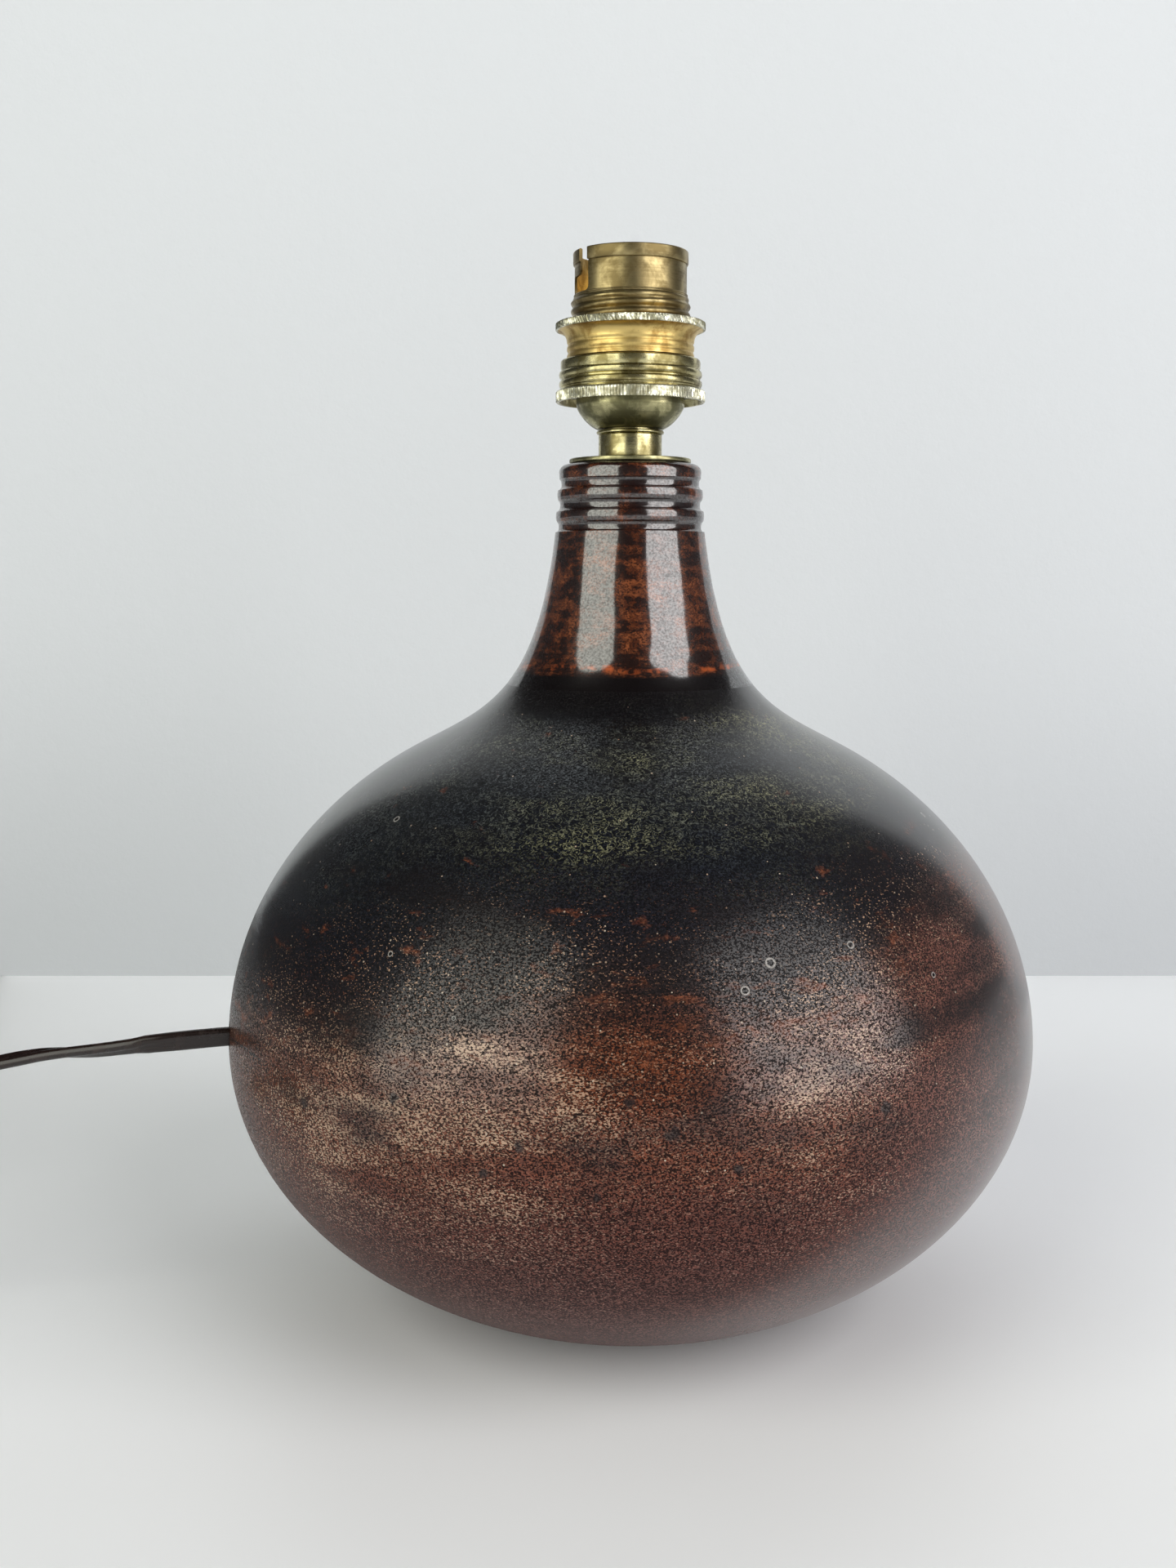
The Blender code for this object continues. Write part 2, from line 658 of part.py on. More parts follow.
def clamp_bar(metal):
    """A bar with round ends that fit the wall under the shoulder."""
    reach = BAR_LENGTH / 2
    half = math.degrees(math.asin(BAR_WIDTH / BAR_LENGTH))
    outline = ellipse_arc(reach, reach, (0, 0), -half, half, 2 * CORNER_STEPS)
    outline += ellipse_arc(reach, reach, (0, 0), 180 - half, 180 + half, 2 * CORNER_STEPS)
    bar = prism("clamp_bar", outline, BAR_TOP - BAR_THICKNESS, BAR_TOP, metal)
    hole = drill(
        "clamp_bar_cutter", TUBE_RADIUS + SEAT_GAP,
        (0, 0, BAR_TOP - BAR_THICKNESS - CUT_OVERRUN), (0, 0, BAR_TOP + CUT_OVERRUN), metal,
        2 * SMALL_SEGMENTS,
    )
    return cut(bar, hole)


def clamp_nut(metal):
    corner = NUT_FLATS / math.sqrt(3)
    outline = ellipse_arc(corner, corner, (0, 0), 0, 360, NUT_SIDES)[:-1]
    nut = prism("clamp_nut", outline, NUT_TOP - NUT_THICKNESS, NUT_TOP, metal, smooth=False)
    hole = drill(
        "clamp_nut_cutter", TUBE_RADIUS + SEAT_GAP,
        (0, 0, NUT_TOP - NUT_THICKNESS - CUT_OVERRUN), (0, 0, NUT_TOP + CUT_OVERRUN), metal,
        2 * SMALL_SEGMENTS,
    )
    return cut(nut, hole)


# The lampholder's shell

def entry_collar(brass):
    bore = TUBE_RADIUS + SEAT_GAP
    bead_low = COLLAR_TOP - COLLAR_BEAD_HEIGHT
    bead_middle = (COLLAR_TOP + bead_low) / 2
    head_low = DOME_BOTTOM + SHEET + SEAT_GAP
    head_top = head_low + SPIGOT_HEAD_THICKNESS
    bevel = COLLAR_BEAD
    outline = [
        (bore, COLLAR_BOTTOM),
        (COLLAR_RADIUS - bevel, COLLAR_BOTTOM),
        (COLLAR_RADIUS, COLLAR_BOTTOM + bevel),
        (COLLAR_RADIUS, bead_low),
        (COLLAR_RADIUS + COLLAR_BEAD, bead_middle),
        (COLLAR_RADIUS, COLLAR_TOP),
        (SPIGOT_RADIUS, COLLAR_TOP),
        (SPIGOT_RADIUS, head_low),
        (SPIGOT_HEAD_RADIUS, head_low),
        (SPIGOT_HEAD_RADIUS - bevel, head_top),
        (bore, head_top),
    ]
    return turned("entry_collar", outline, brass)


def dome_side(inset):
    """The spun side of the dome, from its floor out to its wall."""
    start = Vector((DOME_NECK_RADIUS, DOME_BOTTOM + inset))
    end = Vector((DOME_RADIUS - inset, DOME_BOTTOM + DOME_ROUND_HEIGHT))
    leaving = start + Vector((DOME_SPREAD, DOME_LIFT))
    arriving = end - Vector((0, DOME_RISE))
    return bezier(start, leaving, arriving, end, 2 * CORNER_STEPS)


def holder_dome(brass):
    """A spun cup: round from the collar out, a short wall, then a shoulder and a threaded rim."""
    hole = SPIGOT_RADIUS + SEAT_GAP
    outline = [(hole, DOME_BOTTOM)] + dome_side(0)
    outline += [
        (DOME_RADIUS, DOME_SHOULDER),
        (DOME_RIM_RADIUS, DOME_SHOULDER),
        (DOME_RIM_RADIUS, DOME_TOP),
        (DOME_RIM_RADIUS - SHEET, DOME_TOP),
        (DOME_RIM_RADIUS - SHEET, DOME_SHOULDER + SHEET),
        (DOME_RADIUS - SHEET, DOME_SHOULDER + SHEET),
    ]
    outline += dome_side(SHEET)[::-1] + [(hole, DOME_BOTTOM + SHEET)]
    return turned("holder_dome", outline, brass)


def clamp_ring(brass):
    """The lower ring: a rolled lip that hooks over the barrel, two beads and a knurled flange."""
    bore = max(DOME_RIM_RADIUS, BARREL_FLANGE_RADIUS) + SEAT_GAP
    round_off = RING_LIP_THICKNESS / 2
    bead_top = RING_BOTTOM + RING_FLANGE_HEIGHT + RING_SKIRT_RISE + RING_BEADS * RING_THREAD_PITCH
    skirt = RING_BOTTOM + RING_FLANGE_HEIGHT
    flange_bore = RING_FLANGE_RADIUS - RING_FLANGE_LIP
    outline = [
        (RING_LIP_RADIUS, RING_TOP - round_off),
        (RING_LIP_RADIUS + RING_LIP_ROUND, RING_TOP),
        (RING_BODY_RADIUS - round_off, RING_TOP),
        (RING_BODY_RADIUS, RING_TOP - round_off),
    ]
    outline += beads(RING_BODY_RADIUS, RING_BEAD, bead_top, RING_THREAD_PITCH, RING_BEADS)
    outline += [
        (RING_BODY_RADIUS + RING_BEAD, skirt + RING_SKIRT_RISE / 2),
        (RING_FLANGE_RADIUS, skirt),
        (RING_FLANGE_RADIUS, RING_BOTTOM),
        (flange_bore, RING_BOTTOM),
        (flange_bore, skirt - RING_FLANGE_LIP),
        (bore, skirt + RING_FLANGE_LIP),
        (bore, RING_LIP_BOTTOM),
        (RING_LIP_RADIUS, RING_LIP_BOTTOM),
    ]
    return turned("clamp_ring", outline, brass)


def slot_cutter(name, turn, metal):
    """The bayonet slot as it is punched: down from the rim, then aside for the lamp's pin."""
    half = SLOT_WIDTH / 2
    low = -SLOT_DEPTH
    ledge = low + SLOT_LEG_HEIGHT
    far = -half - SLOT_LEG_LENGTH
    above = CUT_OVERRUN
    corners = [(half, above), (-half, above), (-half, ledge), (far, ledge), (far, low), (half, low)]
    shape = bmesh.new()
    outline = rounded(corners, SLOT_ROUND)
    face = shape.faces.new([shape.verts.new((BARREL_BORE_RADIUS / 2, s, z)) for s, z in outline])
    grown = bmesh.ops.extrude_face_region(shape, geom=[face])["geom"]
    moved = [item for item in grown if isinstance(item, bmesh.types.BMVert)]
    reach = BARREL_FLANGE_RADIUS + CUT_OVERRUN - BARREL_BORE_RADIUS / 2
    bmesh.ops.translate(shape, verts=moved, vec=(reach, 0, 0))
    cutter = finish(shape, name, metal)
    return place(cutter, (0, 0, BARREL_TOP), turn)


def barrel(brass):
    """The bayonet barrel: hemmed rim, plain tube, rolled thread and a flange at the bottom."""
    hem_low = BARREL_TOP - HEM_HEIGHT
    bevel = HEM_STEP
    thread_top = BARREL_TOP - THREAD_TOP_DROP
    outline = [
        (BARREL_BORE_RADIUS, BARREL_TOP - bevel),
        (BARREL_BORE_RADIUS + bevel, BARREL_TOP),
        (BARREL_RADIUS, BARREL_TOP),
        (BARREL_RADIUS + HEM_STEP, BARREL_TOP - bevel),
        (BARREL_RADIUS + HEM_STEP, hem_low + bevel),
        (BARREL_RADIUS, hem_low),
        (BARREL_RADIUS, thread_top + HEM_STEP),
    ]
    swell = THREAD_CREST_RADIUS - THREAD_ROOT_RADIUS
    outline += beads(THREAD_ROOT_RADIUS, swell, thread_top, THREAD_PITCH, THREAD_CREST_COUNT)
    flange_top = BARREL_BOTTOM + BARREL_FLANGE_THICKNESS
    outline += [
        (THREAD_ROOT_RADIUS, flange_top),
        (BARREL_FLANGE_RADIUS, flange_top),
        (BARREL_FLANGE_RADIUS, BARREL_BOTTOM),
        (BARREL_BORE_RADIUS, BARREL_BOTTOM),
    ]
    body = turned("barrel", outline, brass)
    near = slot_cutter("slot_near_cutter", SLOT_TURN, brass)
    far = slot_cutter("slot_far_cutter", SLOT_TURN + 180, brass)
    return cut(body, near, far)


def shade_ring(brass):
    """The upper ring: a knurled flange that flares out of a sleeve with two rolled grooves."""
    knurl_low = SHADE_RING_TOP - SHADE_FLANGE_THICKNESS
    flare_low = knurl_low - SHADE_FLARE_HEIGHT
    flare = bezier(
        (SHADE_FLANGE_RADIUS, knurl_low),
        (SHADE_RING_RADIUS + SHADE_FLARE_HEIGHT / 3, knurl_low),
        (SHADE_RING_RADIUS, flare_low + SHADE_FLARE_HEIGHT / 2),
        (SHADE_RING_RADIUS, flare_low),
        CORNER_STEPS + 1,
    )
    bevel = SHADE_GROOVE_DEPTH
    outline = [
        (SHADE_RING_BORE_RADIUS, SHADE_RING_TOP),
        (SHADE_FLANGE_RADIUS - bevel, SHADE_RING_TOP),
        (SHADE_FLANGE_RADIUS, SHADE_RING_TOP - bevel),
    ]
    outline += flare
    pitch = (flare_low - SHADE_RING_BOTTOM) / SHADE_GROOVES
    for index in range(SHADE_GROOVES):
        top = flare_low - index * pitch
        outline.append((SHADE_RING_RADIUS - SHADE_GROOVE_DEPTH, top - pitch / 4))
        outline.append((SHADE_RING_RADIUS, top - pitch / 2))
        outline.append((SHADE_RING_RADIUS, top - pitch))
    outline.append((SHADE_RING_BORE_RADIUS, SHADE_RING_BOTTOM))
    ring = turned("shade_ring", [(r, z - SHADE_RING_BOTTOM) for r, z in outline], brass)
    return place(ring, (0, 0, SHADE_RING_BOTTOM))


# The porcelain and what it holds

def porcelain_core(porcelain):
    foot_top = PORCELAIN_BOTTOM + PORCELAIN_FOOT_HEIGHT
    outline = [
        (0, PORCELAIN_BOTTOM),
        (PORCELAIN_FOOT_RADIUS, PORCELAIN_BOTTOM),
        (PORCELAIN_FOOT_RADIUS, foot_top),
        (PORCELAIN_RADIUS, foot_top),
        (PORCELAIN_RADIUS, PORCELAIN_TOP - PORCELAIN_BEVEL),
        (PORCELAIN_RADIUS - PORCELAIN_BEVEL, PORCELAIN_TOP),
        (0, PORCELAIN_TOP),
    ]
    core = turned("porcelain_core", outline, porcelain)
    for side in (-1, 1):
        spot = contact_spot(side)
        wide = PLUNGER_FLANGE_RADIUS + SEAT_GAP
        narrow = PLUNGER_RADIUS + SEAT_GAP
        ledge = PORCELAIN_TOP - PORCELAIN_LIP
        low = spot + Vector((0, 0, PORCELAIN_BOTTOM - CUT_OVERRUN))
        high = spot + Vector((0, 0, PORCELAIN_TOP + CUT_OVERRUN))
        step = spot + Vector((0, 0, ledge))
        cut(
            core,
            drill("contact_bore_cutter", wide, low, step, porcelain),
            drill("contact_hole_cutter", narrow, low, high, porcelain),
        )
    return core


def contact_spot(side):
    turn = math.radians(CONTACT_TURN)
    return Vector((math.cos(turn), math.sin(turn), 0)) * side * CONTACT_SPACING / 2


def contact_set(name, side, brass, steel):
    """One sprung contact: its plunger, spring, terminal and terminal screw."""
    spot = contact_spot(side)
    turn = CONTACT_TURN if side > 0 else CONTACT_TURN + 180
    height = PLUNGER_TOP - PLUNGER_BOTTOM
    flange = PLUNGER_FLANGE_THICKNESS
    outline = [
        (0, 0), (PLUNGER_FLANGE_RADIUS, 0), (PLUNGER_FLANGE_RADIUS, flange), (PLUNGER_RADIUS, flange),
    ]
    outline += ellipse_arc(
        PLUNGER_ROUND, PLUNGER_ROUND,
        (PLUNGER_RADIUS - PLUNGER_ROUND, height - PLUNGER_ROUND), 0, 90, CORNER_STEPS,
    )
    outline.append((0, height))
    plunger = turned("plunger_" + name, outline, brass, SMALL_SEGMENTS)
    place(plunger, spot + Vector((0, 0, PLUNGER_BOTTOM)))
    spring_low = TERMINAL_TOP + SEAT_GAP + SPRING_WIRE_RADIUS
    spring_high = PLUNGER_BOTTOM - SEAT_GAP - SPRING_WIRE_RADIUS
    curls = []
    for step in range(SPRING_CURLS * CURL_STEPS + 1):
        share = step / (SPRING_CURLS * CURL_STEPS)
        angle = math.tau * SPRING_CURLS * share
        level = spring_low + (spring_high - spring_low) * share
        curls.append((SPRING_RADIUS * math.cos(angle), SPRING_RADIUS * math.sin(angle), level))
    place(tube("contact_spring_" + name, curls, SPRING_WIRE_RADIUS, 1, steel), spot)
    terminal(name, spot, turn, brass, steel)


def terminal(name, spot, turn, brass, steel):
    """A brass block under the porcelain, its stem in the contact's bore, and a clamping screw."""
    block_top = TERMINAL_BOTTOM + TERMINAL_HEIGHT
    frame = empty("terminal_frame_" + name, spot, turn)
    half = TERMINAL_WIDTH / 2
    stem = turned(
        "terminal_" + name,
        [
            (0, TERMINAL_BOTTOM), (half, TERMINAL_BOTTOM), (half, block_top),
            (PLUNGER_FLANGE_RADIUS, block_top), (PLUNGER_FLANGE_RADIUS, TERMINAL_TOP),
            (0, TERMINAL_TOP),
        ],
        brass, SMALL_SEGMENTS,
    )
    stem.parent = frame
    middle = TERMINAL_BOTTOM + TERMINAL_HEIGHT / 2
    hole = drill(
        "terminal_cutter_" + name, TERMINAL_SCREW_RADIUS + SEAT_GAP,
        (half / 4, 0, middle), (half + CUT_OVERRUN, 0, middle), brass, SMALL_SEGMENTS // 2,
    )
    cut(stem, hole)
    shank = half / 4 + SEAT_GAP
    head = half + SEAT_GAP
    outline = [
        (0, shank), (TERMINAL_SCREW_RADIUS, shank), (TERMINAL_SCREW_RADIUS, head),
        (TERMINAL_HEAD_RADIUS, head), (TERMINAL_HEAD_RADIUS, head + TERMINAL_HEAD_THICKNESS),
        (0, head + TERMINAL_HEAD_THICKNESS),
    ]
    screw = turned("terminal_screw_" + name, outline, steel, SMALL_SEGMENTS // 2)
    screw.parent = frame
    screw.location = (0, 0, middle)
    screw.rotation_euler = (0, math.pi / 2, 0)


# The flex

def flex_pieces(sheath, copper):
    """The flex inside the lamp, its two cores, the free run and the coil."""
    turn = math.radians(CORD_HOLE_TURN)
    outward = Vector((math.cos(turn), math.sin(turn), 0))
    mouth = BALL_RADIUS - VESSEL_WALL / 2
    height = Vector((0, 0, CORD_HOLE_HEIGHT))
    inner_start = outward * (mouth - SEAT_GAP / 2) + height
    inner_top = Vector((0, 0, DOME_BOTTOM + SHEET + SEAT_GAP + SPIGOT_HEAD_THICKNESS))
    inner_knee = inner_start - outward * CORD_WIDTH
    route = [inner_start, inner_knee, *INNER_ROUTE, Vector((0, 0, TUBE_BOTTOM)), inner_top]
    inner = smooth_line(route, CORD_WIDTH * LONG_STEP_SHARE)
    tube("inner_flex", inner, CORD_RADIUS, 1, sheath)
    for name, side in (("front", 1), ("rear", -1)):
        spot = contact_spot(side)
        aside = spot.normalized() * CORE_SPACING / 2
        start = inner_top + aside + Vector((0, 0, SEAT_GAP))
        end = spot + Vector((0, 0, TERMINAL_BOTTOM - SEAT_GAP))
        lift = Vector((0, 0, CORE_RADIUS))
        core = smooth_line([start, start + lift, end - lift, end], CORE_RADIUS)
        tube("core_wire_" + name, core, CORE_RADIUS, 1, copper)
    switch_mouth = Vector((
        COIL_CENTRE[0] + COIL_LEAD + SWITCH_LENGTH + 3 * SEAT_GAP,
        COIL_CENTRE[1] - COIL_OUTER_RADIUS, SWITCH_MIDDLE,
    ))
    run_start = outward * (mouth + SEAT_GAP / 2) + height
    straight = Vector((CORD_WIDTH, 0, 0))
    run_knee = run_start + outward * CORD_WIDTH
    route = [run_start, run_knee, *RUN_ROUTE, switch_mouth + straight, switch_mouth]
    run = smooth_line(route, CORD_WIDTH * LONG_STEP_SHARE)
    tube("cord_run", run, CORD_RADIUS, 2, sheath)
    coil = coil_line()
    tube("cord_coil", coil, CORD_RADIUS, 1, sheath)
    print("least gap of the coil to itself in mm", round(least_gap(coil, CORD_WIDTH) / MM, 2))
    tail_start = coil[-1] + Vector((SEAT_GAP, 0, 0))
    tail_end = Vector((tail_start.x + TAIL_LENGTH, tail_start.y, PLUG_MIDDLE))
    tail = smooth_line(
        [tail_start, tail_start + straight, tail_end - straight, tail_end], CORD_WIDTH,
    )
    tube("cord_tail", tail, CORD_RADIUS, 2, sheath)
    whole = line_length(run) + line_length(coil) + line_length(tail) + SWITCH_LENGTH
    print("length of the flex from the hole to the plug in m", round(whole, 3))
    return switch_mouth, tail_end


def coil_tie(vinyl):
    """A flat strap around the turns on the side away from the lamp."""
    width = COIL_OUTER_RADIUS - COIL_INNER_RADIUS + CORD_WIDTH + 2 * SEAT_GAP
    height = COIL_TURN_STEP + CORD_WIDTH + 2 * SEAT_GAP
    inner = rounded(box_corners(width, height), TIE_ROUND - TIE_THICKNESS)
    outer = rounded(box_corners(width + 2 * TIE_THICKNESS, height + 2 * TIE_THICKNESS), TIE_ROUND)
    shape = bmesh.new()
    loops = []
    for along in (-TIE_WIDTH / 2, TIE_WIDTH / 2):
        for outline in (outer, inner):
            loops.append([shape.verts.new((x, along, z)) for x, z in outline])
    for first, second in ((0, 1), (1, 3), (3, 2), (2, 0)):
        for index in range(len(inner)):
            beside = index - 1
            shape.faces.new((
                loops[first][beside], loops[first][index], loops[second][index], loops[second][beside],
            ))
    middle = (COIL_OUTER_RADIUS + COIL_INNER_RADIUS) / 2
    tie = finish(shape, "coil_tie", vinyl)
    level = COIL_LAYER + COIL_TURN_STEP / 2
    return place(tie, (COIL_CENTRE[0] - middle, COIL_CENTRE[1], level))


# The inline switch

def switch_shell(name, bottom, top, frame, plastic, floor_low, floor_high):
    """One half of the switch: a rounded block with a pocket at each end of its middle."""
    outline = rounded(box_corners(SWITCH_LENGTH, SWITCH_WIDTH), SWITCH_CORNER, 2 * CORNER_STEPS)
    shell = prism(name, outline, bottom, top, plastic)
    shell.parent = frame
    length = (SWITCH_LENGTH - CHEEK_LENGTH) / 2 - SWITCH_WALL
    width = SWITCH_WIDTH - 2 * SWITCH_WALL
    for side in (-1, 1):
        pocket = rounded(box_corners(length, width), SWITCH_CORNER / 4)
        middle = side * (CHEEK_LENGTH + length) / 2
        moved = [(x + middle, y) for x, y in pocket]
        cutter = prism(name + "_pocket_cutter", moved, floor_low, floor_high, plastic)
        cut(shell, cutter)
        cutter.parent = frame
    return shell


def screw_spots():
    reach = CHEEK_LENGTH / 3
    aside = (WINDOW_WIDTH + SWITCH_WIDTH) / 4
    return ((reach, aside), (-reach, -aside))


def inline_switch(mouth, plastic, brass, steel):
    frame = empty("switch_frame", (mouth.x - SEAT_GAP - SWITCH_LENGTH / 2, mouth.y, 0), 0)
    split = SWITCH_BASE_HEIGHT - SEAT_GAP / 2
    cover_low = split + SEAT_GAP
    cover_top = cover_low + SWITCH_COVER_HEIGHT
    base = switch_shell("switch_base", 0, split, frame, plastic, SWITCH_WALL, split + CUT_OVERRUN)
    channel = prism(
        "switch_channel_cutter", box_corners(CHEEK_LENGTH + SWITCH_WALL, WINDOW_WIDTH),
        SWITCH_WALL, split + CUT_OVERRUN, plastic,
    )
    cut(base, channel)
    cover = switch_shell(
        "switch_cover", cover_low, cover_top, frame, plastic,
        cover_low - CUT_OVERRUN, cover_top - SWITCH_WALL,
    )
    window = prism(
        "switch_window_cutter", box_corners(WINDOW_LENGTH, WINDOW_WIDTH),
        cover_low - CUT_OVERRUN, cover_top + CUT_OVERRUN, plastic,
    )
    pivot = cover_top - ROCKER_PIVOT_DROP
    reach = WINDOW_WIDTH / 2 + ROCKER_PIN_LENGTH
    bore = drill(
        "switch_pivot_cutter", ROCKER_PIN_RADIUS + SEAT_GAP, (0, -reach, pivot), (0, reach, pivot),
        plastic,
    )
    cut(cover, window, bore)
    for number, (x, y) in enumerate(screw_spots(), 1):
        hole = drill(
            "switch_screw_cutter", SWITCH_SCREW_RADIUS + SEAT_GAP, (x, y, -CUT_OVERRUN),
            (x, y, SWITCH_SCREW_LENGTH + 2 * SEAT_GAP), plastic,
        )
        seat = drill(
            "switch_head_cutter", SWITCH_HEAD_RADIUS + SEAT_GAP, (x, y, -CUT_OVERRUN),
            (x, y, SWITCH_HEAD_THICKNESS + 2 * SEAT_GAP), plastic,
        )
        cut(base, hole, seat)
        cut(cover, hole)
        outline = [
            (0, SEAT_GAP), (SWITCH_HEAD_RADIUS, SEAT_GAP),
            (SWITCH_HEAD_RADIUS, SWITCH_HEAD_THICKNESS + SEAT_GAP),
            (SWITCH_SCREW_RADIUS, SWITCH_HEAD_THICKNESS + SEAT_GAP),
            (SWITCH_SCREW_RADIUS, SWITCH_SCREW_LENGTH), (0, SWITCH_SCREW_LENGTH),
        ]
        screw = turned("switch_screw_" + str(number), outline, steel, SMALL_SEGMENTS // 2)
        place(screw, (x, y, 0), 0, frame)
    for shell in (base, cover):
        edge = shell.modifiers.new("soft_edge", "BEVEL")
        edge.width = SWITCH_EDGE / 3
        edge.segments = 1
        edge.limit_method = "ANGLE"
        edge.angle_limit = math.radians(EDGE_ANGLE)
        shell.modifiers.move(len(shell.modifiers) - 1, 0)
    rocker(pivot, cover_top, frame, plastic)
    for name, side in (("live", -1), ("load", 1)):
        contact_strip(name, side, frame, brass)


def rocker(pivot, cover_top, frame, plastic):
    """The rocker: a dished key on two pivot pins, pressed down at its far end."""
    half = WINDOW_LENGTH / 2 - ROCKER_CLEARANCE
    side = WINDOW_WIDTH / 2 - SEAT_GAP
    top = cover_top + ROCKER_PROUD - pivot
    slim = half - ROCKER_CLEARANCE
    outline = [
        (half, 0), (half, top), (0, top - ROCKER_DISH), (-half, top), (-half, 0),
        (-slim / 2, -ROCKER_DEPTH), (slim / 2, -ROCKER_DEPTH),
    ]
    key = prism("switch_rocker", outline, -side, side, plastic)
    pins = drill(
        "rocker_pins", ROCKER_PIN_RADIUS, (0, 0, -side - ROCKER_PIN_LENGTH),
        (0, 0, side + ROCKER_PIN_LENGTH), plastic, SMALL_SEGMENTS // 2,
    )
    pins.hide_render = True
    pins.display_type = "WIRE"
    pins.parent = key
    join = key.modifiers.new("pins", "BOOLEAN")
    join.operation = "UNION"
    join.solver = "EXACT"
    join.object = pins
    key.parent = frame
    key.location = (0, 0, pivot)
    key.rotation_euler = (math.pi / 2, math.radians(ROCKER_TILT), 0)


def contact_strip(name, side, frame, brass):
    """A bent brass strip in the base, from the cord's end to under the rocker."""
    low = SWITCH_WALL + SEAT_GAP
    near = CONTACT_STRIP_WIDTH
    far = near + CONTACT_STRIP_LENGTH
    knee = near + CONTACT_STRIP_WIDTH
    thick = CONTACT_STRIP_THICKNESS
    profile = [
        (near, low + CONTACT_STRIP_RISE), (knee, low), (far, low),
        (far, low + thick), (knee, low + thick), (near, low + CONTACT_STRIP_RISE + thick),
    ]
    shape = bmesh.new()
    half = CONTACT_STRIP_WIDTH / 2
    face = shape.faces.new([shape.verts.new((side * x, -half, z)) for x, z in profile])
    grown = bmesh.ops.extrude_face_region(shape, geom=[face])["geom"]
    moved = [item for item in grown if isinstance(item, bmesh.types.BMVert)]
    bmesh.ops.translate(shape, verts=moved, vec=(0, CONTACT_STRIP_WIDTH, 0))
    strip = finish(shape, "switch_contact_" + name, brass, smooth=False)
    strip.parent = frame


# The plug

def plug(cord_end, plastic, brass):
    """A flat two-pin plug, lofted from its strain relief to its face, with pins in blind holes."""
    sections = []
    start = cord_end.x + SEAT_GAP
    half_rib = RELIEF_LENGTH / (2 * RELIEF_RIBS)
    for index in range(2 * RELIEF_RIBS + 1):
        share = index / (2 * RELIEF_RIBS)
        dip = RELIEF_RIB_DEPTH if index % 2 else 0
        width = RELIEF_TIP_WIDTH + (RELIEF_ROOT_WIDTH - RELIEF_TIP_WIDTH) * share - dip
        growth = (RELIEF_ROOT_THICKNESS - RELIEF_TIP_THICKNESS) * share
        thickness = RELIEF_TIP_THICKNESS + growth - dip
        sections.append((start + index * half_rib, width, thickness))
    root = start + RELIEF_LENGTH
    for index in range(1, PLUG_SWELL_STEPS + 1):
        share = index / PLUG_SWELL_STEPS
        ease = share * share * (3 - 2 * share)
        width = RELIEF_ROOT_WIDTH + (PLUG_WIDTH - RELIEF_ROOT_WIDTH) * ease
        thickness = RELIEF_ROOT_THICKNESS + (PLUG_THICKNESS - RELIEF_ROOT_THICKNESS) * ease
        sections.append((root + PLUG_TAPER_LENGTH * share, width, thickness))
    shoulder = root + PLUG_TAPER_LENGTH
    face = shoulder + PLUG_GRIP_LENGTH
    sections.append((face - PLUG_FACE_INSET, PLUG_WIDTH, PLUG_THICKNESS))
    sections.append((face, PLUG_WIDTH - 2 * PLUG_FACE_INSET, PLUG_THICKNESS - 2 * PLUG_FACE_INSET))
    rings = []
    for x, width, thickness in sections:
        outline = rounded(box_corners(width, thickness), thickness / 3)
        rings.append([(x, cord_end.y + y, PLUG_MIDDLE + z) for y, z in outline])
    body = lofted("plug_body", rings, plastic)
    for name, side in (("near", -1), ("far", 1)):
        middle = (face, cord_end.y + side * PIN_SPACING / 2, PLUG_MIDDLE)
        inside = (face - PIN_SEAT - SEAT_GAP, middle[1], middle[2])
        outside = (face + CUT_OVERRUN, middle[1], middle[2])
        cut(body, drill("plug_pin_cutter", PIN_RADIUS + SEAT_GAP, inside, outside, plastic))
        length = PIN_LENGTH + PIN_SEAT
        outline = [(0, 0), (PIN_RADIUS, 0)]
        outline += ellipse_arc(
            PIN_ROUND, PIN_ROUND, (PIN_RADIUS - PIN_ROUND, length - PIN_ROUND), 0, 90, CORNER_STEPS,
        )
        outline.append((0, length))
        pin = turned("plug_pin_" + name, outline, brass, SMALL_SEGMENTS)
        pin.location = (face - PIN_SEAT, middle[1], middle[2])
        pin.rotation_euler = (0, math.pi / 2, 0)


def clear_scene():
    for old in list(bpy.data.objects):
        bpy.data.objects.remove(old, do_unlink=True)


